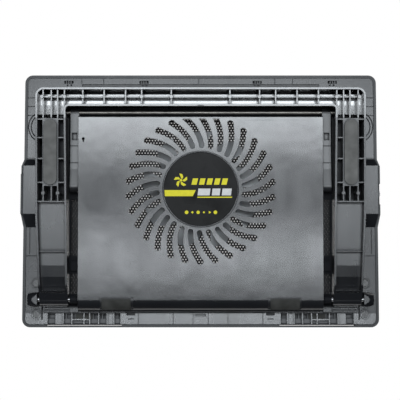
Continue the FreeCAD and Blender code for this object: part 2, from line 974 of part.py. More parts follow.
# ---------------------------------------------------------------- base shell
def tray_plan(inset, low, high, corner):
    """The tray seen from above, with the side pods, drawn in by an inset."""
    half = s.tray_half_width - inset
    pod = s.pod_half_width - inset
    front = s.tray_front + inset
    rear = s.tray_rear - inset
    side = [
        (half, front),
        (half, s.pod_front),
        (pod, s.pod_front + s.pod_slope),
        (pod, s.pod_rear - s.pod_slope / 2),
        (half, s.pod_rear),
        (half, rear),
    ]
    corners = side + [(-x, y) for x, y in reversed(side)]
    plan = prism("z", corners, (low, high))
    return fillet(
        plan,
        corner,
        lambda e: runs_along(e, "z") and (passes(e, x=half, y=front) or passes(e, x=half, y=rear)),
    )


floor_top = s.lip_level + s.shell_wall
shell_inset = s.skirt + s.seam


def pod_profile(inset, top):
    """A pod's side view: flat below, with both ends sloping up to the rim."""
    slope = s.pod_slope
    return [
        (s.pod_front + inset, top),
        (s.pod_front + inset, s.lip_level),
        (s.pod_front + slope + inset / 2, s.pod_level + inset),
        (s.pod_rear - slope / 2 - inset, s.pod_level + inset),
        (s.pod_rear - inset, s.lip_level - 2.5),
        (s.pod_rear - inset, top),
    ]


shell_outside = [tray_plan(shell_inset, s.lip_level, s.shell_rim_top, 5.3)]
shell_inside = [tray_plan(shell_inset + s.shell_wall, floor_top, 30, 3.3)]
for side, _ in SIDES:
    outside = span(side, s.pod_near, s.pod_half_width - shell_inset)
    inside = span(
        side, s.pod_near + s.shell_wall, s.pod_half_width - shell_inset - s.shell_wall
    )
    shell_outside.append(
        common(
            prism("x", pod_profile(0, floor_top), outside),
            tray_plan(shell_inset, 0, 30, 5.3),
        )
    )
    shell_inside.append(
        common(
            prism("x", pod_profile(s.shell_wall, 30), inside),
            tray_plan(shell_inset + s.shell_wall, 0, 30, 3.3),
        )
    )

shell_added = []
shell_cuts = [
    block(
        (-s.air_opening, s.air_opening),
        (s.air_opening_front, s.air_opening_rear),
        (s.lip_level - 1, floor_top + 1),
    )
]
screw_places = [(side, 174.2, y) for side, _ in SIDES for y in (-15.8, 17.0)]
lug_near, lug_far = 119.2, 125.2
for side, _ in SIDES:
    # hinge knuckles: a tapered outer one and a slim inner one, both on webs from the floor
    outer_ends = span(side, s.knuckle_near, s.knuckle_far)
    cone = doc.addObject("Part::Cone", "knuckle")
    cone.Placement = Placement(Vector(), Rotation(Vector(0, 1, 0), 90.0 * side))
    cone.setExpression("Placement.Base.x", span(side, s.knuckle_near, 0)[0 if side == LEFT else 1].text)
    cone.setExpression("Radius1", s.knuckle_radius.text)
    cone.setExpression("Radius2", s.knuckle_tip_radius.text)
    cone.setExpression("Height", (s.knuckle_far - s.knuckle_near).text)
    web = s.knuckle_tip_radius - 1
    shell_added.append(
        common(
            join(cone, block(outer_ends, (-web, web), (0, floor_top))),
            block(outer_ends, (-7.5, 7.5), (-7.5, floor_top)),
        )
    )
    inner_ends = span(side, s.inner_knuckle_near, s.inner_knuckle_far)
    shell_added.append(bar("x", s.inner_knuckle_radius, inner_ends, (0, 0)))
    shell_added.append(block(inner_ends, (-3.2, 3.2), (0, floor_top)))
    # the lug that holds the prop's pivot pin, inside the cover
    shell_added.append(
        prism(
            "x",
            [
                (s.prop_pivot - 5, -4),
                (s.prop_pivot + 5, -4),
                (s.prop_pivot + 9, floor_top),
                (s.prop_pivot - 9, floor_top),
            ],
            span(side, lug_near, lug_far),
        )
    )
    shell_added.append(
        block(
            span(side, s.air_opening - 1, lug_far),
            (s.prop_pivot - 9, s.prop_pivot + 9),
            (s.lip_level, floor_top),
        )
    )
    # stepped ledges in front of the arm's end
    shell_added.append(block(span(side, 129.5, 166.0), (-10.6, -9.2), (s.lip_level - 1.4, floor_top)))
    shell_added.append(block(span(side, 129.5, 138.5), (-13.6, -9.2), (s.lip_level - 2.2, floor_top)))
    shell_added.append(block(span(side, 138.0, 166.0), (-13.6, -12.6), (s.lip_level - 0.8, floor_top)))
    # blocks and steps on the well's floor, seen behind the prop legs
    shell_added.append(block(span(side, 129.5, 138.0), (30.0, 40.0), (s.lip_level - 3.0, floor_top)))
    shell_cuts.append(
        block(span(side, 129.2, 138.0), (46.0, 106.0), (s.lip_level - 1, floor_top + 1))
    )
    shell_cuts.append(
        block(span(side, 129.2, 138.0), (6.0, 27.0), (s.lip_level - 1, floor_top + 1))
    )
    # narrow slot beside the outer knuckle
    shell_cuts.append(block(span(side, 167.3, 168.6), (-21.5, -4.5), (s.lip_level - 1, floor_top + 1)))
    # retainer window in the front strip, crossed by ribs
    window = block(
        span(side, s.retainer_near + 1, s.retainer_far - 1),
        (-27.0, -14.4),
        (s.lip_level - 1, floor_top + 1),
    )
    bars_left = [
        block(span(side, x - 0.7, x + 0.7), (-28.0, -14.0), (s.lip_level - 2, floor_top + 2))
        for x in (92.0, 99.0, 108.0, 117.5, 123.5, 136.5, 145.5)
    ]
    bars_left.append(block(span(side, 118.0, 136.0), (-22.2, -20.6), (0, 30)))
    bars_left.append(block(span(side, 92.0, 98.6), (-28.0, -14.0), (s.lip_level + 0.9, floor_top + 2)))
    bars_left.append(block(span(side, 146.0, 154.0), (-28.0, -14.0), (s.lip_level + 0.9, 30)))
    shell_cuts.append(cut(window, *bars_left))
    # snap windows in the rear strip, each with two hooks showing
    for x in (61.0, 142.0):
        snap = block(span(side, x - 4.8, x + 4.8), (231.4, 234.6), (s.lip_level - 1, floor_top + 1))
        hooks = [
            block(span(side, x + d - 0.6, x + d + 0.6), (230.4, 235.2), (s.lip_level + 0.5, 30))
            for d in (-2.2, 0.4, 2.8)
        ]
        shell_cuts.append(cut(snap, *hooks))
        for d in (-2.6, 1.4):
            shell_cuts.append(
                block(span(side, x + d - 0.9, x + d + 0.9), (229.0, 230.6), (s.lip_level - 1, 30))
            )
    # crescent-shaped finger grooves beside the arms
    groove_middle = (span(side, 168, 168)[0], 184.5)
    for radius in (17.5, 14.6):
        shell_cuts.append(
            common(
                cut(
                    bar("z", radius, (s.lip_level - 1, s.lip_level + 1.2), groove_middle),
                    bar("z", radius - 1.1, (s.lip_level - 2, 30), groove_middle),
                ),
                block(span(side, 175.2, 186.0), (170.0, 199.0), (0, 30)),
            )
        )
    # parting lines moulded across the side rims
    for y in (46.0, 196.8, 206.5, 216.0):
        shell_cuts.append(
            block(
                span(side, 173.0, s.tray_half_width - shell_inset + 1),
                (y - s.groove / 2, y + s.groove / 2),
                (s.lip_level - 1, s.lip_level + 0.5),
            )
        )
    shell_cuts.append(
        block(span(side, 181.6, 182.2), (48.0, 76.0), (s.lip_level - 1, s.lip_level + 0.5))
    )
    # panel outlines on the front strip
    for x in (8.0, 29.0, 66.0):
        shell_cuts.append(
            block(span(side, x - 0.3, x + 0.3), (-26.6, -14.4), (s.lip_level - 1, s.lip_level + 0.5))
        )
    # snap windows at the inner ends of the retainers
    shell_cuts.append(block(span(side, 69.5, 78.5), (-17.0, -14.6), (s.lip_level - 1, 30)))
    shell_cuts.append(block(span(side, 71.0, 77.0), (-21.4, -20.2), (s.lip_level - 1, s.lip_level + 1)))
for y in (-14.0, -26.9):
    shell_cuts.append(
        block((-80, 80), (y - 0.3, y + 0.3), (s.lip_level - 1, s.lip_level + 0.5))
    )
shell_cuts.append(block((-5.5, 5.5), (-18.2, -15.6), (s.lip_level - 1, s.lip_level + 1.4)))
# the long narrow recess in the rear strip, with short lines across the strip behind it
shell_cuts.append(
    block(
        (-s.cover_half_width, s.cover_half_width),
        (228.2, 230.8),
        (s.lip_level - 1, s.lip_level + 1.1),
    )
)
for x in (128.0, 104.5, 2.0, -80.0, -99.0):
    shell_cuts.append(
        block((x - 0.3, x + 0.3), (231.4, 236.4), (s.lip_level - 1, s.lip_level + 0.5))
    )
for side, x, y in screw_places:
    at = (span(side, x, x)[0], y)
    shell_added.append(bar("z", s.boss_radius, (s.lip_level - 1.0, floor_top), at))
    shell_cuts.append(
        bar("z", s.screw_head_radius + 0.3, (s.lip_level - 2, s.lip_level + 0.9), at)
    )
    shell_cuts.append(bar("z", s.screw_shank_radius + 0.2, (0, 30), at))
for x, y in cover_boss_places:
    shell_added.append(
        block((x - 8, x + 8), (y - 7, y + 7), (s.lip_level, floor_top))
    )
for side, _ in SIDES:
    # bores of the hinge pin: through the inner knuckle, blind in the outer one
    shell_cuts.append(
        bar("x", s.hinge_pin_radius, span(side, s.inner_knuckle_near - 1, s.knuckle_far - 2), (0, 0))
    )
    shell_cuts.append(
        bar("x", s.prop_pin_radius, span(side, lug_near + 1.5, lug_far + 1), (s.prop_pivot, 0))
    )
for x, y in cover_boss_places:
    # the cover leans, so its screws enter the floor a little behind their place in the cover
    shell_cuts.append(bar("z", s.screw_shank_radius + 0.5, (0, ABOVE), (x, floor_place(y))))
# the retainers' pockets: the shell's front wall stops short of the bezel's cheeks there
pocket_front = s.retainer_axis - 2.7
pocket_rear = s.retainer_axis + s.retainer_reach + 0.9
pocket_near = s.retainer_near - s.retainer_gap
pocket_far = s.retainer_far + s.retainer_gap
for side, _ in SIDES:
    shell_cuts.append(
        block(
            span(
                side,
                pocket_near - s.cheek_thickness - 0.2,
                pocket_far + s.cheek_thickness + 0.2,
            ),
            (s.tray_front, pocket_rear),
            (floor_top, ABOVE),
        )
    )
# cut-outs for the two sockets in the left pod and the dial in the right pod
socket_middles = (100.0, 124.0)
socket_low = s.board_level + s.board_thickness
socket_high = socket_low + s.socket_height
socket_face = s.pod_half_width - 1.2
socket_cuts = [
    block(
        (socket_face - s.socket_depth - 0.5, s.pod_half_width + 1),
        (y - s.socket_width / 2 - 0.3, y + s.socket_width / 2 + 0.3),
        (socket_low - 0.3, socket_high + 0.3),
    )
    for y in socket_middles
]
dial_centre = (-s.dial_axis, s.dial_middle)
dial_cut = bar(
    "z",
    s.dial_radius + 0.8,
    (s.dial_level - 0.6, s.dial_level + s.dial_thickness + 0.6),
    dial_centre,
)
# a scoop in the pod's side lets a finger reach the dial's rim
dial_scoop = block(
    (-s.pod_half_width - 1, -s.pod_half_width + s.dial_scoop),
    (s.dial_middle - 11, s.dial_middle + 11),
    (s.dial_level - 1.2, s.dial_level + s.dial_thickness + 1.2),
)
shell_cuts += [*socket_cuts, dial_cut, dial_scoop]
# pegs that hold the two boards
board_pegs = [
    bar("z", 2.0, (s.pod_level + 1, s.board_level), (span(side, 178.5, 178.5)[0], y))
    for side, _ in SIDES
    for y in (93.0, 131.0)
]
piece(
    "base_shell",
    "tray",
    cut(
        join(cut(join(*shell_outside), *shell_inside), *shell_added, *board_pegs),
        *shell_cuts,
    ),
)

# ---------------------------------------------------------------- top bezel and mesh plate
mesh_top = s.tray_top - s.bezel_plate
mesh_low = mesh_top - s.mesh_thickness
bezel_outside = fillet(
    tray_plan(0, s.lip_level, s.tray_top, s.tray_corner),
    2.4,
    lambda e: abs(e.CenterOfMass.z - s.tray_top.value) < 0.01,
)
bezel_inside = tray_plan(s.skirt, s.lip_level - 1, mesh_top, s.tray_corner - s.skirt)
bezel_cuts = [
    prism(
        "z",
        [
            (-s.mesh_opening, s.mesh_opening_front),
            (s.mesh_opening, s.mesh_opening_front),
            (s.mesh_opening, s.mesh_opening_rear),
            (-s.mesh_opening, s.mesh_opening_rear),
        ],
        (0, 30),
    ),
    *socket_cuts,
    dial_cut,
    dial_scoop,
]
# the left pod's skirt reaches down past the sockets, so that it frames them on all sides
bezel_added = [
    cut(
        block(
            (s.pod_half_width - s.skirt, s.pod_half_width),
            (socket_middles[0] - 9.5, socket_middles[-1] + 9.5),
            (s.board_level - 0.2, s.lip_level + 0.5),
        ),
        *socket_cuts,
    )
]
for side, _ in SIDES:
    bezel_cuts.append(
        block(span(side, pocket_near, pocket_far), (pocket_front, pocket_rear), (0, ABOVE))
    )
    # the cheeks that hold the ends of the retainer's pin
    thick = s.cheek_thickness
    for cheek in ((pocket_near - thick, pocket_near), (pocket_far, pocket_far + thick)):
        bezel_added.append(
            block(span(side, *cheek), (pocket_front, pocket_rear), (floor_top, mesh_top))
        )
for side, x, y in screw_places:
    at = (span(side, x, x)[0], y)
    bezel_added.append(
        cut(
            bar("z", 3.2, (floor_top, mesh_top), at),
            bar("z", s.screw_shank_radius, (0, mesh_top - 0.6), at),
        )
    )
retainer_bores = [
    bar(
        "x",
        s.retainer_pin_radius,
        span(side, s.retainer_near - s.retainer_gap - 1.5, s.retainer_far + s.retainer_gap + 1.5),
        (s.retainer_axis, s.retainer_axis_level),
    )
    for side, _ in SIDES
]
piece(
    "top_bezel",
    "tray",
    cut(
        join(cut(bezel_outside, bezel_inside, *bezel_cuts), *bezel_added),
        *retainer_bores,
    ),
)
piece(
    "mesh_plate",
    "tray",
    block(
        (-s.mesh_opening - s.mesh_margin, s.mesh_opening + s.mesh_margin),
        (s.mesh_opening_front - s.mesh_margin, s.mesh_opening_rear + s.mesh_margin),
        (mesh_low, mesh_top),
    ),
)

# ---------------------------------------------------------------- hinge pins and prop
for side, name in SIDES:
    piece(
        name + "_hinge_pin",
        "tray",
        bar(
            "x",
            s.hinge_pin_radius,
            span(side, s.inner_knuckle_near, s.knuckle_far - 2),
            (0, 0),
        ),
    )
    piece(
        name + "_prop_pin",
        "tray",
        bar("x", s.prop_pin_radius, span(side, lug_near + 1.5, s.leg_far - 1), (s.prop_pivot, 0)),
    )
rod_y = s.prop_pivot + s.prop_length
piece(
    "prop_rod",
    "tray",
    bar("x", s.rod_radius, (-s.rod_half_length, s.rod_half_length), (rod_y, 0)),
)
for side, name in SIDES:
    ends = span(side, s.leg_near, s.leg_far)
    eye = bar("x", s.leg_eye_radius, ends, (s.prop_pivot, 0))
    toe = bar("x", s.leg_foot_radius, ends, (rod_y, 0))
    beam = prism(
        "x",
        [
            (s.prop_pivot, -s.leg_eye_radius),
            (s.prop_pivot + 18, -s.leg_foot_radius),
            (rod_y, -s.leg_foot_radius),
            (rod_y, s.leg_foot_radius),
            (s.prop_pivot + 18, s.leg_foot_radius),
            (s.prop_pivot, s.leg_eye_radius),
        ],
        ends,
    )
    # a shallow window and two steps lighten the leg's lower face
    relief = [
        block(
            span(side, s.leg_near + 1.6, s.leg_far - 1.6),
            (rod_y - 30, rod_y - 22),
            (-s.leg_foot_radius - 1, -s.leg_foot_radius + 3),
        ),
        block(ends, (rod_y - 36.5, rod_y - 35.7), (-s.leg_foot_radius - 1, -s.leg_foot_radius + 0.6)),
        block(ends, (rod_y - 54.5, rod_y - 53.7), (-s.leg_foot_radius - 1, -s.leg_foot_radius + 0.6)),
    ]
    piece(
        name + "_prop_leg",
        "tray",
        cut(
            join(eye, toe, beam),
            *relief,
            bar("x", s.rod_radius, (-200, 200), (rod_y, 0)),
            bar(
                "x",
                s.prop_pin_radius + s.running_clearance,
                span(side, s.leg_near - 1, s.leg_far - 0.8),
                (s.prop_pivot, 0),
            ),
        ),
    )

# ---------------------------------------------------------------- laptop retainers
for side, name in SIDES:
    ends = span(side, s.retainer_near, s.retainer_far)
    axis_place = (s.retainer_axis, s.retainer_axis_level)
    plate = block(
        ends,
        (s.retainer_axis, s.retainer_axis + s.retainer_reach),
        (s.retainer_low, s.retainer_high),
    )
    nose = bar("x", s.retainer_high - s.retainer_axis_level, ends, axis_place)
    # cells moulded into the lower face, between ribs
    cell_count = 8
    pitch = (s.retainer_far - s.retainer_near - 2) / cell_count
    cells = [
        block(
            span(
                side,
                s.retainer_near + 1.6 + pitch * i,
                s.retainer_near + 0.4 + pitch * (i + 1),
            ),
            (s.retainer_axis + 4.6, s.retainer_axis + s.retainer_reach - 1.2),
            (s.retainer_low - 1, s.retainer_high - 1.6),
        )
        for i in range(cell_count)
        if i not in (3, 4)
    ]
    piece(
        name + "_retainer",
        "tray",
        cut(
            join(plate, nose),
            *cells,
            bar("x", s.retainer_pin_radius + s.running_clearance, (-200, 200), axis_place),
        ),
    )
    grip_near = s.retainer_near + 1.6 + pitch * 3
    grip_far = s.retainer_near + 0.4 + pitch * 5
    piece(
        name + "_retainer_grip",
        "tray",
        block(
            span(side, grip_near, grip_far),
            (s.retainer_axis + 4.6, s.retainer_axis + s.retainer_reach - 1.2),
            (s.retainer_low - s.grip_thickness, s.retainer_low),
        ),
    )
    piece(
        name + "_retainer_pin",
        "tray",
        bar(
            "x",
            s.retainer_pin_radius,
            span(
                side,
                s.retainer_near - s.retainer_gap - 1.5,
                s.retainer_far + s.retainer_gap + 1.5,
            ),
            axis_place,
        ),
    )

# ---------------------------------------------------------------- boards, sockets and dial
board_high = s.board_level + s.board_thickness
for side, name in ((LEFT, "socket_board"), (RIGHT, "dial_board")):
    piece(
        name,
        "tray",
        block(span(side, 176.2, 186.0), (90.0, 134.5), (s.board_level, board_high)),
    )
sockets = []
for y in socket_middles:
    shell = block(
        (socket_face - s.socket_depth, socket_face),
        (y - s.socket_width / 2, y + s.socket_width / 2),
        (socket_low, socket_high),
    )
    mouth = block(
        (socket_face - s.socket_depth + 1.5, socket_face + 1),
        (y - s.socket_width / 2 + 0.5, y + s.socket_width / 2 - 0.5),
        (socket_low + 0.5, socket_high - 0.5),
    )
    tongue = block(
        (socket_face - s.socket_depth + 1, socket_face - 1.2),
        (y - s.socket_width / 2 + 1.6, y + s.socket_width / 2 - 1.6),
        (socket_high - 2.9, socket_high - 1.1),
    )
    sockets.append(join(cut(shell, mouth), tongue))
piece("usb_sockets", "tray", *sockets)

knurls = []
for i in range(24):
    angle = 2 * math.pi * i / 24
    radius = s.dial_radius.value
    knurls.append(
        bar(
            "z",
            0.45,
            (s.dial_level - 1, s.dial_level + s.dial_thickness + 1),
            (
                -s.dial_axis + radius * math.cos(angle),
                s.dial_middle + radius * math.sin(angle),
            ),
        )
    )
spindle_radius = 1.6
piece(
    "speed_dial",
    "tray",
    cut(
        bar("z", s.dial_radius, (s.dial_level, s.dial_level + s.dial_thickness), dial_centre),
        *knurls,
        bar("z", spindle_radius + s.running_clearance, (0, 30), dial_centre),
    ),
)
piece(
    "dial_spindle",
    "tray",
    bar("z", spindle_radius, (board_high, s.dial_level + s.dial_thickness), dial_centre),
)

# ---------------------------------------------------------------- screws and lead
def screw(x, y, head_low, length, upwards=True):
    """A pan-head screw with a cross recess, driven along Z."""
    head = (head_low, head_low + s.screw_head)
    if upwards:
        shank = (head_low + s.screw_head, head_low + length)
        recess = (head_low - 1, head_low + 0.9)
    else:
        shank = (head_low + s.screw_head - length, head_low)
        recess = (head_low + s.screw_head - 0.9, head_low + s.screw_head + 1)
    return cut(
        join(
            bar("z", s.screw_head_radius, head, (x, y)),
            bar("z", s.screw_shank_radius, shank, (x, y)),
        ),
        block((x - 2.0, x + 2.0), (y - 0.4, y + 0.4), recess),
        block((x - 0.4, x + 0.4), (y - 2.0, y + 2.0), recess),
    )


piece(
    "rim_screws",
    "tray",
    *[
        screw(span(side, x, x)[0], size(y), s.lip_level - 0.8, 6.6)
        for side, x, y in screw_places
    ],
)
piece(
    "cover_screws",
    "cover",
    *[
        screw(size(x), size(y), under_floor(y) + s.shell_wall + 0.2, 9.0, upwards=False)
        for x, y in cover_boss_places
    ],
)

wire_radius = 0.9
wire_y = s.fan_middle.value
wire_low = cover_floor.value + wire_radius + 0.1
route = [
    Vector(-22.5, wire_y, wire_low),
    Vector(-90.0, wire_y, wire_low),
    Vector(-108.0, wire_y + 18, wire_low + 16),
    Vector(-112.0, wire_y + 20, 19.3),
    Vector(-150.0, wire_y + 16, 19.6),
    Vector(-176.0, wire_y + 6, 18.6),
]


def tube(points, radius, bend):
    """A round tube along straight runs joined by tangent arcs."""
    edges = []
    start = points[0]
    for before, corner, after in zip(points, points[1:], points[2:]):
        back = (before - corner).normalize()
        ahead = (after - corner).normalize()
        half = math.acos(max(-1.0, min(1.0, back.dot(ahead)))) / 2
        trim = bend / math.tan(half)
        first, last = corner + back * trim, corner + ahead * trim
        inward = (back + ahead).normalize()
        middle = corner + inward * (bend / math.sin(half) - bend)
        edges.append(Part.makeLine(start, first))
        edges.append(Part.Arc(first, middle, last).toShape())
        start = last
    edges.append(Part.makeLine(start, points[-1]))
    path = Part.Wire(edges)
    direction = (points[1] - points[0]).normalize()
    circle = Part.Wire([Part.makeCircle(radius, points[0], direction)])
    return path.makePipeShell([circle], True, False)


piece("fan_lead", "cover", shaped(tube(route, wire_radius, 4.0)))

# ---------------------------------------------------------------- checks and export
doc.recompute()
faults = [
    f"{item.Label}: {item.State}"
    for item in doc.Objects
    if "Invalid" in item.State or "Error" in item.State
]
for node in nodes:
    if node.Shape.isNull() or not node.Shape.isValid() or not node.Shape.Solids:
        faults.append(f"{node.Label}: its shape isn't a valid solid")
if faults:
    raise RuntimeError("; ".join(faults))
os.makedirs("parts", exist_ok=True)
for node in nodes:
    node.Shape.exportStep(f"parts/{node.Label}.step")
    print(f"{node.Label}: {len(node.Shape.Solids)} solids, {node.Shape.Volume:.0f} mm3")
whole = FreeCAD.BoundBox()
for node in nodes:
    whole.add(node.Shape.BoundBox)
print(whole)
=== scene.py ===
import json
import math

import bpy
import numpy as np
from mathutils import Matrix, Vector


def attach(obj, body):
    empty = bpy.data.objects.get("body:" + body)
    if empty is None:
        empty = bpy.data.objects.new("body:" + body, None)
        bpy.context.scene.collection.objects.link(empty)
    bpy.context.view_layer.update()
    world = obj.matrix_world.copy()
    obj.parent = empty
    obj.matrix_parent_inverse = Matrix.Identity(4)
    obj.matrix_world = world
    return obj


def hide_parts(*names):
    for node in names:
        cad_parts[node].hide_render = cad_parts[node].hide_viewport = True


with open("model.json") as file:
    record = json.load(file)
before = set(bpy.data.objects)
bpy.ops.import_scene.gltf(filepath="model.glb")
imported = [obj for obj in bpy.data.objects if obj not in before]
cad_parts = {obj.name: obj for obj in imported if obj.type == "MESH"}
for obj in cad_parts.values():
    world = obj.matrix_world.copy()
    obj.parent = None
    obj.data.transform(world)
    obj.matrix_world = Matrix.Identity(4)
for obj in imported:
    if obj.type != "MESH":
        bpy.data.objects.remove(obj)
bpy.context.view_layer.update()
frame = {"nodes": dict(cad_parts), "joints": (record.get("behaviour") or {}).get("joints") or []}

nodes = frame["nodes"]
joints = {joint["name"]: joint for joint in frame["joints"]}

# Stand frame. One black ABS moulding, a wide U of thin walls and ribs open to the desk, with two
# smooth hollow arms. The tool is polished where the floor of a cell shows and spark-grained in
# the rest, so the same plastic comes out glossy in the crossbar and matt between the arm ribs.
MM = 0.001


class Finish:
    """One material: the principled shader, with patterns that stay fixed to the piece."""

    def __init__(self, name, colour, roughness, metallic=0.0, **sockets):
        self.material = bpy.data.materials.new(name)
        self.material.use_nodes = True
        self.tree = self.material.node_tree
        self.shader = self.tree.nodes["Principled BSDF"]
        self.colour = (*colour, 1.0)
        self.shader.inputs["Base Color"].default_value = self.colour
        self.shader.inputs["Roughness"].default_value = roughness
        self.shader.inputs["Metallic"].default_value = metallic
        for socket, value in sockets.items():
            self.shader.inputs[socket.replace("_", " ")].default_value = value
        self.place = self.add("TexCoord").outputs["Object"]

    def add(self, kind, sockets=None, **settings):
        """A shader node with its sockets set or linked."""
        node = self.tree.nodes.new("ShaderNode" + kind)
        for setting, value in settings.items():
            setattr(node, setting, value)
        for socket, value in (sockets or {}).items():
            if isinstance(value, bpy.types.NodeSocket):
                self.tree.links.new(value, node.inputs[socket])
            else:
                node.inputs[socket].default_value = value
        return node

    def stretched(self, x, y, z):
        """The piece's own coordinates, scaled apart on each axis."""
        return self.add("Mapping", {"Vector": self.place, "Scale": (x, y, z)}).outputs[0]

    def cloud(self, scale, detail=3.0, place=None):
        """Soft noise from 0 to 1, with that many lumps to the metre."""
        sockets = {"Vector": place or self.place, "Scale": scale, "Detail": detail}
        return self.add("TexNoise", sockets).outputs["Fac"]

    def span(self, value, low, high, at_low=0.0, at_high=1.0):
        """A value spread from one range to another."""
        limits = {"Value": value, "From Min": low, "From Max": high}
        return self.add("MapRange", {**limits, "To Min": at_low, "To Max": at_high}).outputs[0]

    def sum(self, kind, a, b):
        """One sum of two values, such as MULTIPLY or MAXIMUM."""
        return self.add("Math", {0: a, 1: b}, operation=kind).outputs[0]

    def mixed(self, share, a, b):
        """One colour going over to another."""
        node = self.add("Mix", {0: share, 6: a, 7: b}, data_type="RGBA")
        return node.outputs[2]

    def softened(self, radius):
        """The surface direction with its edges rounded off."""
        return self.add("Bevel", {"Radius": radius * MM}, samples=4).outputs["Normal"]

    def edges(self, soft):
        """1 on the outer edges and inner corners, 0 on the flats."""
        flat = self.add("NewGeometry").outputs["Normal"]
        agree = self.add("VectorMath", {0: soft, 1: flat}, operation="DOT_PRODUCT")
        return self.span(agree.outputs["Value"], 0.80, 0.985, at_low=1.0, at_high=0.0)

    def link(self, value, socket):
        self.tree.links.new(value, self.shader.inputs[socket])

    def grained(self, height, strength, depth, base=None):
        """Presses a height pattern into the surface, that many millimetres deep."""
        sockets = {"Height": height, "Strength": strength, "Distance": depth * MM}
        if base is not None:
            sockets["Normal"] = base
        return self.add("Bump", sockets).outputs["Normal"]


def moulded_plastic(name, colour, gloss, grain, rubbed=1.8, edge=0.35, **sockets):
    """Moulded plastic: cloudy flow tone, mould grain, dull corners and edges rubbed lighter."""
    finish = Finish(name, colour, roughness=gloss, **sockets)
    flow = finish.cloud(16.0, detail=5.0)
    speckle = finish.cloud(3200.0, detail=2.0)
    wipes = finish.cloud(45.0, detail=4.0, place=finish.stretched(1.0, 0.3, 1.0))
    soft = finish.softened(edge)
    worn = finish.sum("MULTIPLY", finish.edges(soft), finish.cloud(190.0, detail=3.0))
    dark = (*(0.72 * part for part in colour), 1.0)
    pale = (*(1.3 * part for part in colour), 1.0)
    light = (*(rubbed * part + 0.012 for part in colour), 1.0)
    tone = finish.mixed(finish.span(flow, 0.2, 0.8), dark, pale)
    finish.link(finish.mixed(worn, tone, light), "Base Color")
    corner = finish.add("AmbientOcclusion", {"Distance": 3 * MM}, samples=4).outputs["AO"]
    dull = finish.span(corner, 0.35, 1.0, at_low=0.45, at_high=0.0)
    finish.gloss = finish.sum(
        "ADD", dull, finish.span(wipes, 0.2, 0.8, at_low=gloss - 0.03, at_high=gloss + 0.04)
    )
    finish.link(finish.gloss, "Roughness")
    finish.normal = finish.grained(speckle, strength=grain, depth=0.05, base=soft)
    finish.link(finish.normal, "Normal")
    return finish


def dressed(node, finish):
    """Gives a CAD node its finish."""
    mesh = nodes[node].data
    mesh.materials.clear()
    mesh.materials.append(finish.material)


stand_plastic = moulded_plastic("stand_abs", (0.008, 0.0085, 0.010), gloss=0.28, grain=0.10)
_, along, up = stand_plastic.add("SeparateXYZ", {"Vector": stand_plastic.place}).outputs
arm_ribs_front, arm_ribs_rear, edge_level = 2.0 * MM, 86.0 * MM, 3.2 * MM
ribbed = stand_plastic.sum(
    "MULTIPLY",
    stand_plastic.span(along, arm_ribs_front - MM, arm_ribs_front),
    stand_plastic.span(along, arm_ribs_rear, arm_ribs_rear + MM, at_low=1.0, at_high=0.0),
)
sunk = stand_plastic.span(up, edge_level, edge_level + 2 * MM)
matt = stand_plastic.sum("MULTIPLY", ribbed, sunk)
polished = stand_plastic.sum(
    "MULTIPLY",
    stand_plastic.span(along, arm_ribs_rear, arm_ribs_rear + MM, at_low=0.0, at_high=-0.17),
    sunk,
)
rougher = stand_plastic.sum(
    "ADD",
    polished,
    stand_plastic.sum("MULTIPLY", matt, stand_plastic.cloud(1500.0, detail=2.0)),
)
stand_plastic.link(stand_plastic.sum("ADD", stand_plastic.gloss, rougher), "Roughness")
trough_start = 113.5 * MM
crossbar = stand_plastic.span(along, arm_ribs_rear, arm_ribs_rear + MM, at_low=0.5, at_high=0.95)
trough = stand_plastic.sum(
    "MULTIPLY",
    stand_plastic.span(along, trough_start, trough_start + MM, at_low=0.0, at_high=0.85),
    sunk,
)
stand_plastic.link(stand_plastic.sum("SUBTRACT", crossbar, trough), "Specular IOR Level")
dressed("stand_frame", stand_plastic)

# Ejector marks. The pins that push the frame out of its tool leave low round rims on the smooth
# floors of the arms, three to each arm. They are part of the moulding, so they share its plastic.
HINGE = joints["tray_tilt"]["pos_m"]
LEVEL = 0.0


def lean_of(joint):
    """How far a joint's axis leans back, which is how its moulding sits on the hinge."""
    axis = joints[joint]["axis"]
    return math.atan2(-axis[1], axis[2])


def set_at(points, lean):
    """Turns a moulding's own millimetres, measured from the hinge, into places in the frame."""
    x, y, z = np.asarray(points, float).T * MM
    back = y * math.cos(lean) - z * math.sin(lean) + HINGE[1]
    rise = y * math.sin(lean) + z * math.cos(lean) + HINGE[2]
    return np.column_stack((x, back, rise))


def made(name, parts, lean, body, finish, smooth=None):
    """One named piece from parts given as points and faces, riding on a CAD body."""
    points, faces = [], []
    for corners, rings in parts:
        start = len(points)
        points.extend(corners)
        faces.extend([start + corner for corner in face] for face in rings)
    mesh = bpy.data.meshes.new(name)
    mesh.from_pydata(set_at(points, lean).tolist(), [], faces)
    mesh.materials.append(finish.material)
    if smooth is None:
        mesh.shade_flat()
    else:
        mesh.shade_smooth()
        mesh.set_sharp_from_angle(angle=math.radians(smooth))
    piece = bpy.data.objects.new(name, mesh)
    bpy.context.scene.collection.objects.link(piece)
    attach(piece, body)
    return piece


def turned(profile, middle, steps, closed=True):
    """A profile of (radius, height) turned round an upright axis; radius zero is a point."""
    points, rings = [], []
    for radius, height in profile:
        if radius == 0:
            rings.append([len(points)] * steps)
            points.append((*middle, height))
            continue
        rings.append(list(range(len(points), len(points) + steps)))
        for turn in np.arange(steps) * math.tau / steps:
            x = middle[0] + radius * math.cos(turn)
            points.append((x, middle[1] + radius * math.sin(turn), height))
    pairs = list(zip(rings, rings[1:] + rings[:1])) if closed else list(zip(rings, rings[1:]))
    faces = []
    for low, high in pairs:
        for k in range(steps):
            after = (k + 1) % steps
            face = list(dict.fromkeys((low[k], low[after], high[after], high[k])))
            if len(face) > 2:
                faces.append(face)
    return points, faces


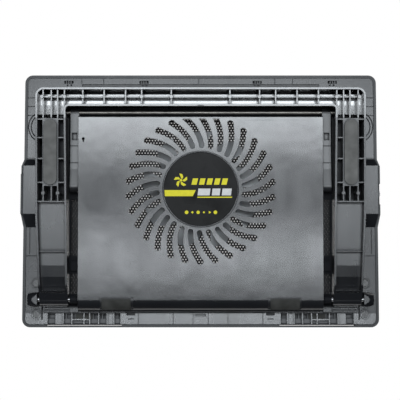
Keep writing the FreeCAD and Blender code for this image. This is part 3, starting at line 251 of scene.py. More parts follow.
arm_floor = -2.0
mark_radius, mark_rim, mark_height, mark_root = 4.2, 0.35, 0.18, 0.1
mark_places = ((155.2, 73.6), (163.4, 54.8), (147.2, 54.8))
mark_profile = (
    (mark_radius, arm_floor + mark_root),
    (mark_radius + mark_rim, arm_floor + mark_root),
    (mark_radius + mark_rim, arm_floor - mark_height),
    (mark_radius, arm_floor - mark_height),
)
marks = [
    turned(mark_profile, (side * across_arm, along_arm), steps=40)
    for side in (1, -1)
    for across_arm, along_arm in mark_places
]
made("ejector_marks", marks, LEVEL, "stand", stand_plastic, smooth=40)

# Long feet and front feet. Grey-black rubber pads with a finely pebbled face, die-cut with round
# ends and stuck into shallow beds. Dust settles in the pebbles and greys the face.
def rubber(name, colour):
    """Foot rubber: pebbled, nearly matt, paler where dust and wear have settled."""
    finish = Finish(name, colour, roughness=0.85, Specular_IOR_Level=0.12)
    pebble = finish.add(
        "TexVoronoi", {"Vector": finish.place, "Scale": 1300.0}, feature="SMOOTH_F1"
    ).outputs["Distance"]
    dust = finish.span(finish.cloud(85.0, detail=6.0), 0.35, 0.75)
    dusty = (*(1.5 * part + 0.01 for part in colour), 1.0)
    soft = finish.softened(0.4)
    tone = finish.mixed(dust, finish.colour, dusty)
    finish.link(finish.mixed(finish.edges(soft), tone, dusty), "Base Color")
    finish.link(finish.grained(pebble, strength=0.5, depth=0.08, base=soft), "Normal")
    finish.link(finish.span(dust, 0.0, 1.0, at_low=0.74, at_high=0.92), "Roughness")
    return finish


long_rubber = rubber("long_foot_rubber", (0.085, 0.084, 0.081))
front_rubber = rubber("front_foot_rubber", (0.026, 0.026, 0.024))
for side in ("left", "right"):
    dressed(side + "_long_foot", long_rubber)
    dressed(side + "_front_foot", front_rubber)

# Base shell. The tray's lower half, black ABS with a medium spark grain, dull in the well round
# the fan cover and glossier on the panels of the front strip. Pods and knuckles are part of it.
shell_plastic = moulded_plastic(
    "shell_abs", (0.008, 0.0085, 0.010), gloss=0.27, grain=0.16, Specular_IOR_Level=0.36
)
shell_x, shell_y, _ = shell_plastic.add("SeparateXYZ", {"Vector": shell_plastic.place}).outputs
well_half, well_front, well_rear = 141.0 * MM, -112.0 * MM, 104.0 * MM
beside = shell_plastic.sum("ABSOLUTE", shell_x, 0.0)
lengthwise = shell_plastic.sum(
    "MULTIPLY",
    shell_plastic.span(shell_y, well_front - MM, well_front),
    shell_plastic.span(shell_y, well_rear, well_rear + MM, at_low=1.0, at_high=0.0),
)
well = shell_plastic.sum(
    "MULTIPLY",
    lengthwise,
    shell_plastic.span(beside, well_half, well_half + MM, at_low=1.0, at_high=0.0),
)
front_strip = -119.0 * MM
panels = shell_plastic.span(shell_y, front_strip - MM, front_strip, at_low=0.5, at_high=0.0)
shell_plastic.link(
    shell_plastic.sum(
        "ADD", panels, shell_plastic.span(well, 0.0, 1.0, at_low=0.36, at_high=0.04)
    ),
    "Specular IOR Level",
)
shell_plastic.link(
    shell_plastic.sum(
        "ADD", shell_plastic.gloss, shell_plastic.span(well, 0.0, 1.0, at_low=0.0, at_high=0.28)
    ),
    "Roughness",
)
dressed("base_shell", shell_plastic)

# Top bezel. The tray's upper frame, which snaps over the base shell. Its outside is textured so
# that fingerprints don't show, and the rim turns down round the shell.
bezel_plastic = moulded_plastic(
    "bezel_abs", (0.010, 0.011, 0.0125), gloss=0.42, grain=0.30, Specular_IOR_Level=0.32
)
dressed("top_bezel", bezel_plastic)

# Mesh plate. One millimetre steel sheet punched right across into a honeycomb and enamelled
# black. It is built as four strips of cells and the plain margin that the bezel covers.
TRAY = lean_of("dial_turn")
mesh_low, mesh_high = 16.5, 17.5
mesh_half, mesh_front, mesh_rear = 170.5, 1.5, 229.5
mesh_margin = 2.6
pitch, web = 3.15, 1.75
cell_corner = pitch / math.sqrt(3)
hole_corner = (pitch - web) / math.sqrt(3)
strips = 4

enamel = Finish("mesh_enamel", (0.006, 0.006, 0.0065), roughness=0.34, Specular_IOR_Level=0.08)
enamel_flow = enamel.span(enamel.cloud(700.0, detail=3.0), 0.3, 0.7)
enamel_soft = enamel.softened(0.12)
enamel_rub = enamel.sum("MULTIPLY", enamel.edges(enamel_soft), enamel.cloud(45.0, detail=4.0))
enamel_tone = enamel.mixed(enamel_flow, (0.005, 0.005, 0.0055, 1), (0.009, 0.009, 0.010, 1))
enamel.link(enamel.mixed(enamel_rub, enamel_tone, (0.03, 0.03, 0.033, 1)), "Base Color")
enamel.link(enamel.span(enamel_flow, 0.0, 1.0, at_low=0.28, at_high=0.42), "Roughness")
enamel.link(
    enamel.grained(enamel.cloud(5000.0, detail=2.0), strength=0.15, depth=0.03, base=enamel_soft),
    "Normal",
)

first_row = mesh_front + mesh_margin
row_step = 1.5 * cell_corner
rows = int((mesh_rear - mesh_margin - first_row) / row_step) + 1
columns = int((mesh_half - mesh_margin) / pitch)
column, row = np.meshgrid(np.arange(-columns, columns + 1), np.arange(rows))
column, row = column.ravel(), row.ravel()
centres = np.column_stack((pitch * (column + 0.5 * (row % 2)), first_row + row_step * row))
turns = np.radians(90.0 + 60.0 * np.arange(6))
corners = np.column_stack((np.cos(turns), np.sin(turns)))


def honeycomb(middles):
    """A strip of the sheet: hexagonal cells that share corners, each with a hexagonal hole."""
    count = len(middles)
    outer = (middles[:, None] + cell_corner * corners).reshape(-1, 2)
    half_steps = np.rint(
        (outer - (0.0, first_row)) / (pitch / 2, cell_corner / 2)
    ).astype(int)
    kept, first, shared = np.unique(
        half_steps, axis=0, return_index=True, return_inverse=True
    )
    shared = shared.reshape(count, 6)
    holes = (middles[:, None] + hole_corner * corners).reshape(-1, 2)
    flat = np.vstack((outer[first], holes))
    storey = len(flat)
    points = np.vstack(
        [np.column_stack((flat, np.full(storey, level))) for level in (mesh_low, mesh_high)]
    )
    hole = len(kept) + np.arange(count * 6).reshape(count, 6)
    shared_next, hole_next = np.roll(shared, -1, axis=1), np.roll(hole, -1, axis=1)
    under = np.stack((shared, hole, hole_next, shared_next), axis=-1).reshape(-1, 4)
    over = under[:, ::-1] + storey
    walls = np.stack((hole, hole + storey, hole_next + storey, hole_next), axis=-1)
    sides = np.stack((shared, shared_next), axis=-1).reshape(-1, 2)
    _, where, uses = np.unique(
        np.sort(sides, axis=1), axis=0, return_index=True, return_counts=True
    )
    rim = sides[where[uses == 1]]
    skirt = np.column_stack((rim[:, 0], rim[:, 1], rim[:, 1] + storey, rim[:, 0] + storey))
    return points.tolist(), np.vstack((under, over, walls.reshape(-1, 4), skirt)).tolist()


for strip, cells in enumerate(np.array_split(np.argsort(column, kind="stable"), strips)):
    strip_part = honeycomb(centres[cells])
    made(f"mesh_strip_{strip + 1}", [strip_part], TRAY, "tray", enamel)


def frame_of(half, front, rear, width, low, high):
    """A flat rectangular frame."""
    outer = [(-half, front), (half, front), (half, rear), (-half, rear)]
    inside = [
        (-half + width, front + width),
        (half - width, front + width),
        (half - width, rear - width),
        (-half + width, rear - width),
    ]
    points = [(x, y, z) for z in (low, high) for x, y in outer + inside]
    faces = []
    for k in range(4):
        after = (k + 1) % 4
        faces.append((k, k + 4, after + 4, after))
        faces.append((k + 8, after + 8, after + 12, k + 12))
        faces.append((k, after, after + 8, k + 8))
        faces.append((k + 4, k + 12, after + 12, after + 4))
    return points, faces


lap = 0.02
margin_part = frame_of(
    mesh_half, mesh_front, mesh_rear, mesh_margin, mesh_low - lap, mesh_high + lap
)
mesh_rim = made("mesh_margin", [margin_part], TRAY, "tray", enamel)
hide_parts("mesh_plate")

# Fan cover. The big belly moulding over the fan: black ABS from a polished tool, so it mirrors
# the light softly, with haze, finger wipes and fine scratches. Its rolled front edge is duller.
cover_plastic = moulded_plastic(
    "cover_abs", (0.010, 0.0105, 0.012), gloss=0.17, grain=0.05, edge=0.4
)
haze = cover_plastic.span(
    cover_plastic.cloud(22.0, detail=6.0), 0.2, 0.85, at_low=0.0, at_high=0.05
)
scratch_place = cover_plastic.add(
    "Mapping",
    {"Vector": cover_plastic.place, "Scale": (9.0, 700.0, 9.0), "Rotation": (0.0, 0.0, 0.7)},
).outputs[0]
scratch_lines = cover_plastic.cloud(1.0, detail=2.0, place=scratch_place)
scratches = cover_plastic.span(scratch_lines, 0.68, 0.76, at_low=0.0, at_high=0.08)
cover_plastic.link(
    cover_plastic.sum("ADD", cover_plastic.sum("ADD", cover_plastic.gloss, haze), scratches),
    "Roughness",
)
sink = cover_plastic.add(
    "Bump",
    {
        "Height": cover_plastic.cloud(30.0, detail=2.0),
        "Strength": 1.0,
        "Distance": 0.22 * MM,
        "Normal": cover_plastic.normal,
    },
).outputs["Normal"]
cover_plastic.link(sink, "Normal")
_, cover_y, _ = cover_plastic.add("SeparateXYZ", {"Vector": cover_plastic.place}).outputs
roll_start, roll_end = -98.0 * MM, -117.0 * MM
cover_plastic.link(
    cover_plastic.span(cover_y, roll_end, roll_start, at_low=0.12, at_high=0.5),
    "Specular IOR Level",
)
dressed("fan_cover", cover_plastic)

# Label. A round black polyester sticker laid in the cover's centre, printed in yellow and white.
# The print is plain shapes: a vane badge, slanted bars, a ribbon and a row of small marks. A
# raised lip moulded on the cover runs round the sticker.
COVER = lean_of("fan_spin")
fan_middle = (0.0, 115.5)
label_face = -12.2
print_height = 0.05

label_film = Finish("label_film", (0.010, 0.010, 0.010), roughness=0.3, Specular_IOR_Level=0.05)
film_tone = label_film.span(label_film.cloud(40.0, detail=5.0), 0.35, 0.7)
label_film.link(
    label_film.mixed(film_tone, (0.004, 0.004, 0.004, 1), (0.009, 0.009, 0.009, 1)), "Base Color"
)
label_film.link(label_film.span(film_tone, 0.0, 1.0, at_low=0.20, at_high=0.36), "Roughness")
label_film.link(
    label_film.grained(label_film.cloud(900.0, detail=2.0), strength=0.08, depth=0.02), "Normal"
)
dressed("cover_label", label_film)


def ink(name, colour):
    """Screen-printed ink: flat colour with fine mottling and worn specks."""
    finish = Finish(name, colour, roughness=0.42, Specular_IOR_Level=0.12)
    fleck = finish.span(finish.cloud(1400.0, detail=4.0), 0.60, 0.72, at_low=0.0, at_high=0.55)
    mottle = finish.span(finish.cloud(260.0, detail=3.0), 0.3, 0.7)
    deeper = (*(0.86 * part for part in colour), 1.0)
    tone = finish.mixed(mottle, deeper, finish.colour)
    finish.link(finish.mixed(fleck, tone, (0.03, 0.03, 0.02, 1)), "Base Color")
    finish.link(finish.grained(mottle, strength=0.1, depth=0.02), "Normal")
    return finish


def printed(outline):
    """A patch of ink on the label, its outline drawn as the label is read, from below."""
    x, y = fan_middle
    loop = [(x - across, y + above) for across, above in outline]
    count = len(loop)
    points = [(a, b, label_face - print_height) for a, b in loop]
    points += [(a, b, label_face + print_height) for a, b in loop]
    faces = [tuple(range(count)), tuple(range(2 * count - 1, count - 1, -1))]
    for k in range(count):
        after = (k + 1) % count
        faces.append((k, k + count, after + count, after))
    return points, faces


def bar_of(left, right, low, high, slant=0.0):
    return [(left, low), (right, low), (right + slant, high), (left + slant, high)]


def disc_of(middle, radius, steps=24):
    return [
        (middle[0] + radius * math.cos(turn), middle[1] + radius * math.sin(turn))
        for turn in np.arange(steps) * math.tau / steps
    ]


def vane(middle, turn):
    """One curved vane of the badge, from its hub to a pointed tip."""
    outline = []
    for radius, swing in ((2.0, -0.45), (4.2, -0.30), (6.6, 0.10), (7.4, 0.55)):
        outline.append((radius, turn + swing))
    for radius, swing in ((5.2, 0.52), (3.4, 0.36), (2.0, 0.30)):
        outline.append((radius, turn + swing))
    return [(middle[0] + r * math.cos(a), middle[1] + r * math.sin(a)) for r, a in outline]


yellow_ink = ink("yellow_ink", (0.60, 0.54, 0.008))
white_ink = ink("white_ink", (0.52, 0.52, 0.51))
badge, badge_vanes, badge_hub = (-20.5, 9.2), 5, 1.4
yellow_marks = [printed(vane(badge, k * math.tau / badge_vanes)) for k in range(badge_vanes)]
yellow_marks.append(printed(disc_of(badge, badge_hub)))
bar_count, bar_start, bar_end, bar_step = 5, -9.6, -4.2, 7.8
bar_low, bar_high, bar_slant = 4.6, 11.2, 1.6
for k in range(bar_count):
    left, right = bar_start + bar_step * k, bar_end + bar_step * k
    yellow_marks.append(printed(bar_of(left, right, bar_low, bar_high, bar_slant)))
print_reach, ribbon_low, ribbon_high = 38.0, -7.4, -1.0
ribbon = [
    (-37.7, ribbon_high),
    (-math.sqrt(print_reach**2 - ribbon_low**2), ribbon_low),
    (-8.2, ribbon_low),
    (-5.0, ribbon_high),
]
underline = bar_of(-3.4, 32.8, -9.0, -7.9)
yellow_marks += [printed(ribbon), printed(underline)]
small_start, small_step, small_row = -14.6, 6.0, -24.2
small_sizes = (1.9, 1.4, 1.9, 1.0, 1.7, 1.9)
small_sides = (24, 4, 6, 24, 3, 24)
for k, (radius, sides) in enumerate(zip(small_sizes, small_sides)):
    middle = (small_start + small_step * k, small_row)
    yellow_marks.append(printed(disc_of(middle, radius, sides)))
made("label_yellow", yellow_marks, COVER, "tray", yellow_ink)
lip_radius, lip_width, lip_height, lip_root = 38.45, 1.5, 0.8, 0.1
lip_profile = (
    (lip_radius, label_face + lip_root),
    (lip_radius, label_face - 0.7 * lip_height),
    (lip_radius + 0.3 * lip_width, label_face - lip_height),
    (lip_radius + 0.7 * lip_width, label_face - lip_height),
    (lip_radius + lip_width, label_face - 0.4 * lip_height),
    (lip_radius + lip_width, label_face + lip_root),
)
lip_part = turned(lip_profile, fan_middle, steps=128)
made("label_lip", [lip_part], COVER, "tray", cover_plastic, smooth=50)
white_low, white_high, white_slant = -6.6, 0.6, 0.9
white_bars = ((-3.2, 9.4), (11.6, 19.8), (22.0, 31.6))
white_marks = [
    printed(bar_of(left, right, white_low, white_high, white_slant)) for left, right in white_bars
]
made("label_white", white_marks, COVER, "tray", white_ink)

# Hinge, prop and retainer pins. Bright cold-drawn steel rod, cut to length and pressed into the
# tray's knuckles and lugs. The stand, the legs and the laptop stops turn on them.
def ground_steel(name, colour, roughness, turned_lines=900.0):
    """Drawn steel: fine lines round the bar, faint stain, edges polished by use."""
    finish = Finish(name, colour, roughness=roughness, metallic=1.0)
    lines = finish.cloud(1.0, detail=2.0, place=finish.stretched(turned_lines, 30.0, 30.0))
    stain = finish.span(finish.cloud(120.0, detail=4.0), 0.35, 0.75)
    dull = (*(0.6 * part for part in colour), 1.0)
    finish.link(finish.mixed(stain, finish.colour, dull), "Base Color")
    finish.link(
        finish.span(lines, 0.3, 0.7, at_low=roughness - 0.07, at_high=roughness + 0.12),
        "Roughness",
    )
    finish.link(finish.grained(lines, strength=0.12, depth=0.02), "Normal")
    return finish


pin_steel = ground_steel("pin_steel", (0.50, 0.50, 0.51), roughness=0.28)
for pin in ("hinge_pin", "prop_pin", "retainer_pin"):
    dressed("left_" + pin, pin_steel)
    dressed("right_" + pin, pin_steel)

# Prop rod and legs. A steel rod, darkened against rust, runs through the feet of two glass-filled
# nylon legs. The legs swing from the tray and the rod drops into the stand's notches.
rod_steel = ground_steel("rod_steel", (0.27, 0.255, 0.235), roughness=0.46)
dressed("prop_rod", rod_steel)
leg_plastic = moulded_plastic("leg_nylon", (0.014, 0.0145, 0.016), gloss=0.38, grain=0.25)
dressed("left_prop_leg", leg_plastic)
dressed("right_prop_leg", leg_plastic)

# Fan rotor. Nine cambered blades round a cup, moulded in one of smoke-grey PBT. The cup holds
# the ring magnet and stands on the shaft, and a shallow groove takes the balancing putty.
hub_radius, hub_low, hub_high = 33.0, -6.0, 11.0
blade_tip, blade_count, blade_rise = 61.8, 9, 14.8
blade_chord, blade_bulge, blade_sweep = 20.0, 3.0, 0.22
blade_middle, blade_camber, blade_root = 2.4, 1.5, 0.8
blade_edge_half, blade_core_half = 0.25, 0.75

rotor_plastic = moulded_plastic("rotor_pbt", (0.21, 0.215, 0.22), gloss=0.32, grain=0.06)
cup = (
    (0, hub_high),
    (22.0, hub_high),
    (22.4, hub_high - 0.5),
    (25.6, hub_high - 0.5),
    (26.0, hub_high),
    (30.6, hub_high),
    (32.2, hub_high - 0.6),
    (hub_radius, hub_high - 2.2),
    (hub_radius, hub_low),
    (30.5, hub_low),
    (30.5, hub_high - 2.5),
    (4.4, hub_high - 2.5),
    (4.0, hub_high - 4.3),
    (1.5, hub_high - 4.3),
    (1.5, hub_high - 1.2),
    (0, hub_high - 1.2),
)


def blade(turn, reach=12, width=10):
    """One blade: its height rises along the chord, it bows, and it thins to both edges."""
    grid = []
    for face in (1, -1):
        for i in range(reach + 1):
            out = i / reach
            radius = hub_radius - blade_root + out * (blade_tip - hub_radius + blade_root)
            chord = (blade_chord + blade_bulge * math.sin(math.pi * out)) / radius
            for k in range(width + 1):
                share = k / width
                bow = 1.0 - (2.0 * share - 1.0) ** 2
                swing = turn + blade_sweep * out**2 + (share - 0.5) * chord
                rise = blade_middle - (share - 0.5) * blade_rise * (1.0 - 0.25 * out)
                half = blade_edge_half + blade_core_half * math.sqrt(bow)
                rise += blade_camber * bow + face * half
                x = radius * math.cos(swing) + fan_middle[0]
                grid.append((x, radius * math.sin(swing) + fan_middle[1], rise))
    faces, row_length = [], width + 1
    back = row_length * (reach + 1)
    for i in range(reach):
        for k in range(width):
            a = i * row_length + k
            b = back + a
            faces.append((a, a + row_length, a + row_length + 1, a + 1))
            faces.append((b, b + 1, b + row_length + 1, b + row_length))
    border = list(range(row_length))
    border += [i * row_length + width for i in range(1, reach + 1)]
    border += [reach * row_length + k for k in range(width - 1, -1, -1)]
    border += [i * row_length for i in range(reach - 1, 0, -1)]
    for a, b in zip(border, border[1:] + border[:1]):
        faces.append((a, b, b + back, a + back))
    return grid, faces


rotor_parts = [turned(cup, fan_middle, steps=96, closed=False)]
rotor_parts += [blade(k * math.tau / blade_count) for k in range(blade_count)]
impeller = made(
    "fan_impeller", rotor_parts, COVER, "rotor", rotor_plastic, smooth=35
)
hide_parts("fan_rotor")

# Fan motor. A plastic-bonded ferrite ring glued in the cup, a ground shaft in a sintered brass
# bush, and a stack of blued laminations with six coils of enamelled wire over it.
magnet = Finish("bonded_ferrite", (0.028, 0.027, 0.027), roughness=0.6)
ferrite_grain = magnet.cloud(900.0, detail=5.0)
ferrite_soft = magnet.softened(0.2)
magnet.link(
    magnet.mixed(ferrite_grain, (0.018, 0.018, 0.018, 1), (0.05, 0.048, 0.046, 1)), "Base Color"
)
magnet.link(
    magnet.grained(magnet.cloud(1800.0, detail=4.0), strength=0.3, depth=0.06, base=ferrite_soft),
    "Normal",
)
dressed("fan_magnet", magnet)
dressed("fan_shaft", pin_steel)

brass = Finish("sintered_brass", (0.45, 0.29, 0.10), roughness=0.42, metallic=1.0)
pores = brass.cloud(2600.0, detail=3.0)
brass.link(brass.mixed(pores, (0.34, 0.21, 0.07, 1), (0.56, 0.38, 0.15, 1)), "Base Color")
brass.link(brass.grained(pores, strength=0.3, depth=0.04, base=brass.softened(0.2)), "Normal")
dressed("fan_bearing", brass)

core = Finish("core_laminations", (0.16, 0.16, 0.17), roughness=0.45, metallic=1.0)
sheets = core.add(
    "TexWave", {"Vector": core.place, "Scale": 320.0}, bands_direction="Z"
).outputs["Fac"]
core.link(core.mixed(sheets, (0.06, 0.06, 0.07, 1), (0.20, 0.20, 0.21, 1)), "Base Color")
core.link(core.grained(sheets, strength=0.5, depth=0.1), "Normal")
dressed("fan_stator", core)

copper = Finish("enamelled_wire", (0.42, 0.15, 0.05), roughness=0.3, metallic=1.0)
wires = copper.add(
    "TexWave", {"Vector": copper.place, "Scale": 780.0, "Distortion": 1.0}, bands_direction="Z"
).outputs["Fac"]
copper.link(copper.mixed(wires, (0.22, 0.07, 0.02, 1), (0.60, 0.24, 0.09, 1)), "Base Color")
copper.link(copper.grained(wires, strength=0.8, depth=0.12), "Normal")
dressed("stator_coils", copper)

# Circuit boards. Green glass-epoxy boards for the motor, the dial and the sockets, with tracks
# that show paler under the lacquer. They are cut from sheet, and the two in the pods sit on posts.
board = Finish("board_epoxy", (0.012, 0.09, 0.035), roughness=0.32)
tracks = board.add(
    "TexBrick",
    {
        "Vector": board.stretched(420.0, 420.0, 420.0),
        "Color1": (0.010, 0.075, 0.028, 1),
        "Color2": (0.014, 0.10, 0.040, 1),
        "Mortar": (0.035, 0.17, 0.07, 1),
        "Mortar Size": 0.06,
    },
).outputs["Color"]
board_tone = board.mixed(board.cloud(500.0, detail=3.0), tracks, (0.010, 0.070, 0.026, 1))
board_soft = board.softened(0.15)
board.link(board_tone, "Base Color")
board.link(
    board.grained(board.cloud(1500.0, detail=3.0), strength=0.12, depth=0.03, base=board_soft),
    "Normal",
)
for node in ("motor_board", "dial_board", "socket_board"):
    dressed(node, board)

# Retainers. Two flip-up stops along the tray's front edge that keep the laptop from sliding.
# Each is a textured black moulding on its pin, with a strip of soft rubber pressed in its face.
retainer_plastic = moulded_plastic("retainer_abs", (0.022, 0.023, 0.025), gloss=0.44, grain=0.28)
for side in ("left", "right"):
    dressed(side + "_retainer", retainer_plastic)
    dressed(side + "_retainer_grip", front_rubber)

# Speed dial. A knurled black wheel that stands out of the right pod, turned with a thumb. The
# knurls are polished by use, and it runs on a plain steel spindle over the dial board.
dial_plastic = moulded_plastic(
    "dial_abs", (0.020, 0.021, 0.023), gloss=0.34, grain=0.10, rubbed=2.6
)
dressed("speed_dial", dial_plastic)
dressed("dial_spindle", pin_steel)

# USB sockets. Tinned steel shells folded from strip, open outward on the left pod and soldered to
# the socket board. Each holds a white nylon tongue with four gilt contacts pressed in its face.
tinned = ground_steel("tinned_shell", (0.62, 0.62, 0.61), roughness=0.24, turned_lines=300.0)
dressed("usb_sockets", tinned)
socket_face, socket_depth, socket_width, socket_high = 188.8, 13.5, 14.4, 16.0
socket_middles = (100.0, 124.0)
tongue_low, tongue_high, tongue_skin = socket_high - 2.9, socket_high - 1.1, 0.06
tongue_back, tongue_front, tongue_side = 1.5, 1.2, 1.6
contact_width, contact_pitch, contact_height, contact_root = 1.0, 2.4, 0.14, 0.05
contact_back, contact_front = 2.5, 2.0


def box_of(left, right, front, rear, low, high):
    """A plain box."""
    points = [(x, y, z) for z in (low, high) for x, y in bar_of(left, right, front, rear)]
    walls = [(0, 3, 2, 1), (4, 5, 6, 7)]
    walls += [(k, (k + 1) % 4, (k + 1) % 4 + 4, k + 4) for k in range(4)]
    return points, walls


nylon = moulded_plastic("tongue_nylon", (0.62, 0.62, 0.60), gloss=0.40, grain=0.10)
gilt = ground_steel("contact_gilt", (0.80, 0.58, 0.22), roughness=0.22, turned_lines=300.0)
tongues, contacts = [], []
for middle in socket_middles:
    tongues.append(
        box_of(
            socket_face - socket_depth + tongue_back,
            socket_face - tongue_front + tongue_skin,
            middle - socket_width / 2 + tongue_side - tongue_skin,
            middle + socket_width / 2 - tongue_side + tongue_skin,
            tongue_low - tongue_skin,
            tongue_high + tongue_skin,
        )
    )
    for place in (-1.5, -0.5, 0.5, 1.5):
        start = middle + place * contact_pitch - contact_width / 2
        under = tongue_low - tongue_skin
        contacts.append(
            box_of(
                socket_face - socket_depth + contact_back,
                socket_face - contact_front,
                start,
                start + contact_width,
                under - contact_height,
                under + contact_root,
            )
        )
made("socket_tongues", tongues, TRAY, "tray", nylon)
made("socket_contacts", contacts, TRAY, "tray", gilt)

# Screws. Black-zinc pan-head screws with a cross recess hold the rim and the cover. The black
# has rubbed through to bright zinc round the recess and on the crown.
screw_black = Finish("screw_zinc", (0.05, 0.05, 0.05), roughness=0.36, metallic=1.0)
screw_soft = screw_black.softened(0.3)
screw_rub = screw_black.sum(
    "MULTIPLY", screw_black.edges(screw_soft), screw_black.cloud(1100.0, detail=3.0)
)
screw_tone = screw_black.mixed(
    screw_black.cloud(700.0, detail=3.0), (0.03, 0.03, 0.03, 1), (0.09, 0.09, 0.09, 1)
)
screw_black.link(screw_black.mixed(screw_rub, screw_tone, (0.45, 0.44, 0.42, 1)), "Base Color")
screw_black.link(
    screw_black.grained(
        screw_black.cloud(1800.0, detail=2.0), strength=0.15, depth=0.03, base=screw_soft
    ),
    "Normal",
)
dressed("rim_screws", screw_black)
dressed("cover_screws", screw_black)

# Fan lead. Twin hook-up wire in a thin black PVC sleeve, laid along the inside of the casing
# from the motor board to the dial board in the right pod. It never leaves the casing.
sleeve = Finish("lead_pvc", (0.014, 0.014, 0.015), roughness=0.38)
sleeve_tone = sleeve.cloud(240.0, detail=4.0)
sleeve.link(
    sleeve.mixed(sleeve_tone, (0.010, 0.010, 0.011, 1), (0.024, 0.024, 0.026, 1)), "Base Color"
)
sleeve.link(sleeve.grained(sleeve.cloud(1200.0, detail=2.0), strength=0.15, depth=0.03), "Normal")
dressed("fan_lead", sleeve)

# Room. A pale sheet of a floor that shows only from above, so that the underside can be seen and
# lit from below, and two sheets on the tray's face that show only from below, behind the
# honeycomb: a black one that is painted shade, and a white one that glows as painted light, so
# that the holes over the fan show pale. It is white all round, with soft boxes above and below.
floor_reach, floor_level = 6.0, -0.1 * MM
floor_corners = [
    (x * floor_reach, y * floor_reach, floor_level)
    for x, y in ((-1, -1), (1, -1), (1, 1), (-1, 1))
]
floor_mesh = bpy.data.meshes.new("floor")
floor_mesh.from_pydata(floor_corners, [], [(0, 1, 2, 3)])
floor = bpy.data.objects.new("floor", floor_mesh)
bpy.context.scene.collection.objects.link(floor)
paper = Finish("floor_paper", (0.78, 0.78, 0.77), roughness=0.9)
paper_tone = paper.cloud(3.0, detail=4.0)
paper.link(
    paper.mixed(paper_tone, (0.76, 0.76, 0.75, 1), (0.80, 0.80, 0.79, 1)), "Base Color"
)
floor_mesh.materials.append(paper.material)


def one_side(finish):
    """Lets a sheet be seen only from the side that its face points to."""
    clear = finish.add("BsdfTransparent").outputs[0]
    back = finish.add("NewGeometry").outputs["Backfacing"]
    both = finish.add("MixShader", {0: back, 1: finish.shader.outputs[0], 2: clear})
    finish.tree.links.new(
        both.outputs[0], finish.tree.nodes["Material Output"].inputs["Surface"]
    )


def card_of(name, half, front, rear, level, finish):
    """A sheet on the tray's face, seen only from below through the honeycomb, painting what the
    holes show.
    """
    corners = [
        (-half, front, level),
        (-half, rear, level),
        (half, rear, level),
        (half, front, level),
    ]
    return made(name, [(corners, [(0, 1, 2, 3)])], TRAY, "tray", finish)


# painted light: a glowing white sheet, no lamp, that makes the honeycomb's holes over the fan pale
painted_glow_card = Finish(
    "painted_glow_card",
    (0.3, 0.3, 0.3),
    roughness=0.9,
    Emission_Color=(1, 1, 1, 1),
    Emission_Strength=0.42,
)
# painted shade: a black sheet behind the honeycomb, where the holes would show only shade
painted_shade_card = Finish("painted_shade_card", (0.004, 0.004, 0.004), roughness=0.95, Specular_IOR_Level=0.05)
for sheet_finish in (paper, painted_glow_card, painted_shade_card):
    one_side(sheet_finish)
shade_sheet_level, glow_sheet_level = 19.7, 19.6
cards = (
    card_of(
        "painted_shade_sheet", half=186.0, front=-26.0, rear=237.5, level=shade_sheet_level, finish=painted_shade_card
    ),
    card_of(
        "painted_glow_sheet", half=118.0, front=-2.0, rear=197.0, level=glow_sheet_level, finish=painted_glow_card
    ),
)
for sheet in (floor, *cards):
    sheet.visible_diffuse = False
    sheet.visible_glossy = False
    sheet.visible_transmission = False
    sheet.visible_shadow = False

world = bpy.data.worlds.new("studio")
world.use_nodes = True
bpy.context.scene.world = world
sky = world.node_tree
white = sky.nodes["Background"]
white.inputs["Color"].default_value = (1.0, 1.0, 1.0, 1.0)
white.inputs["Strength"].default_value = 1.0
fill = sky.nodes.new("ShaderNodeBackground")
fill.inputs["Color"].default_value = (0.93, 0.96, 1.0, 1.0)
fill.inputs["Strength"].default_value = 0.032
seen = sky.nodes.new("ShaderNodeLightPath").outputs["Is Camera Ray"]
backing = sky.nodes.new("ShaderNodeMixShader")
sky.links.new(seen, backing.inputs[0])
sky.links.new(fill.outputs[0], backing.inputs[1])
sky.links.new(white.outputs[0], backing.inputs[2])
sky.links.new(backing.outputs[0], sky.nodes["World Output"].inputs["Surface"])


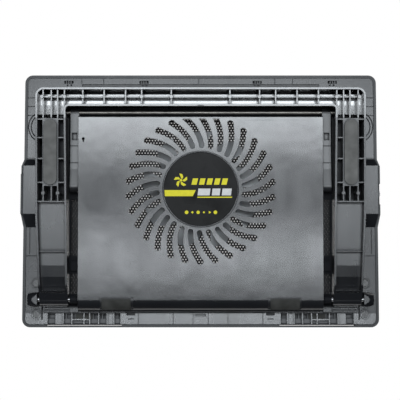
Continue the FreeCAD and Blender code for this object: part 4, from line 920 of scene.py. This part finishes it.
def softbox(name, place, aim, size, watts, colour=(1.0, 1.0, 1.0)):
    """A rectangular soft light at a place, turned to face a point."""
    light = bpy.data.lights.new(name, "AREA")
    light.shape = "RECTANGLE"
    light.size, light.size_y = size
    light.energy = watts
    light.color = colour
    lamp = bpy.data.objects.new(name, light)
    bpy.context.scene.collection.objects.link(lamp)
    lamp.location = place
    facing = Vector(aim) - Vector(place)
    lamp.rotation_euler = facing.to_track_quat("-Z", "Y").to_euler()
    lamp.visible_camera = False


# long strips below the pad, each straight under the place that it faces
strip_level, strip_width, cool = -1.3, 1.1, (0.90, 0.955, 1.0)
for name, along_pad, depth, watts in (
    ("rear_box_below", 0.355, 0.25, 14),
    ("crossbar_box_below", 0.44, 0.08, 6),
    ("low_strip_below", -0.025, 0.08, 5.2),
):
    place, aim = (0.0, along_pad, strip_level), (0.0, along_pad, 0.0)
    softbox(name, place, aim, size=(strip_width, depth), watts=watts, colour=cool)
desk_middle, pad_middle = (0.0, 0.0, 0.0), (0.0, 0.0, 0.05)
softbox("key_above", (0.7, -0.9, 1.5), desk_middle, size=(1.0, 1.0), watts=8)
softbox("rear_above", (-0.6, 1.6, 1.0), desk_middle, size=(1.4, 0.9), watts=12)
softbox("left_side", (1.9, -0.5, 0.55), pad_middle, size=(1.4, 0.9), watts=14)
softbox("right_side", (-1.9, -0.3, 0.55), pad_middle, size=(1.4, 0.9), watts=10)
softbox("front_side", (0.2, -2.0, 0.5), pad_middle, size=(1.6, 0.8), watts=9)

ceiling = bpy.data.lights.new("white_ceiling", "SUN")
ceiling.energy = 2.2
ceiling.angle = 1.2
ceiling_lamp = bpy.data.objects.new("white_ceiling", ceiling)
bpy.context.scene.collection.objects.link(ceiling_lamp)

# Camera. It looks straight up at the underside with a longish lens, as when the folded pad lies
# on its face under a copy stand.
camera_data = bpy.data.cameras.new("copy_camera")
camera_data.lens = 91.1
camera = bpy.data.objects.new("copy_camera", camera_data)
bpy.context.scene.collection.objects.link(camera)
camera.location = (0.64 * MM, 0.7 * MM, -1.05)
camera.rotation_euler = (0.0, math.pi, 0.0)
bpy.context.scene.camera = camera
bpy.context.scene.view_settings.view_transform = "Standard"
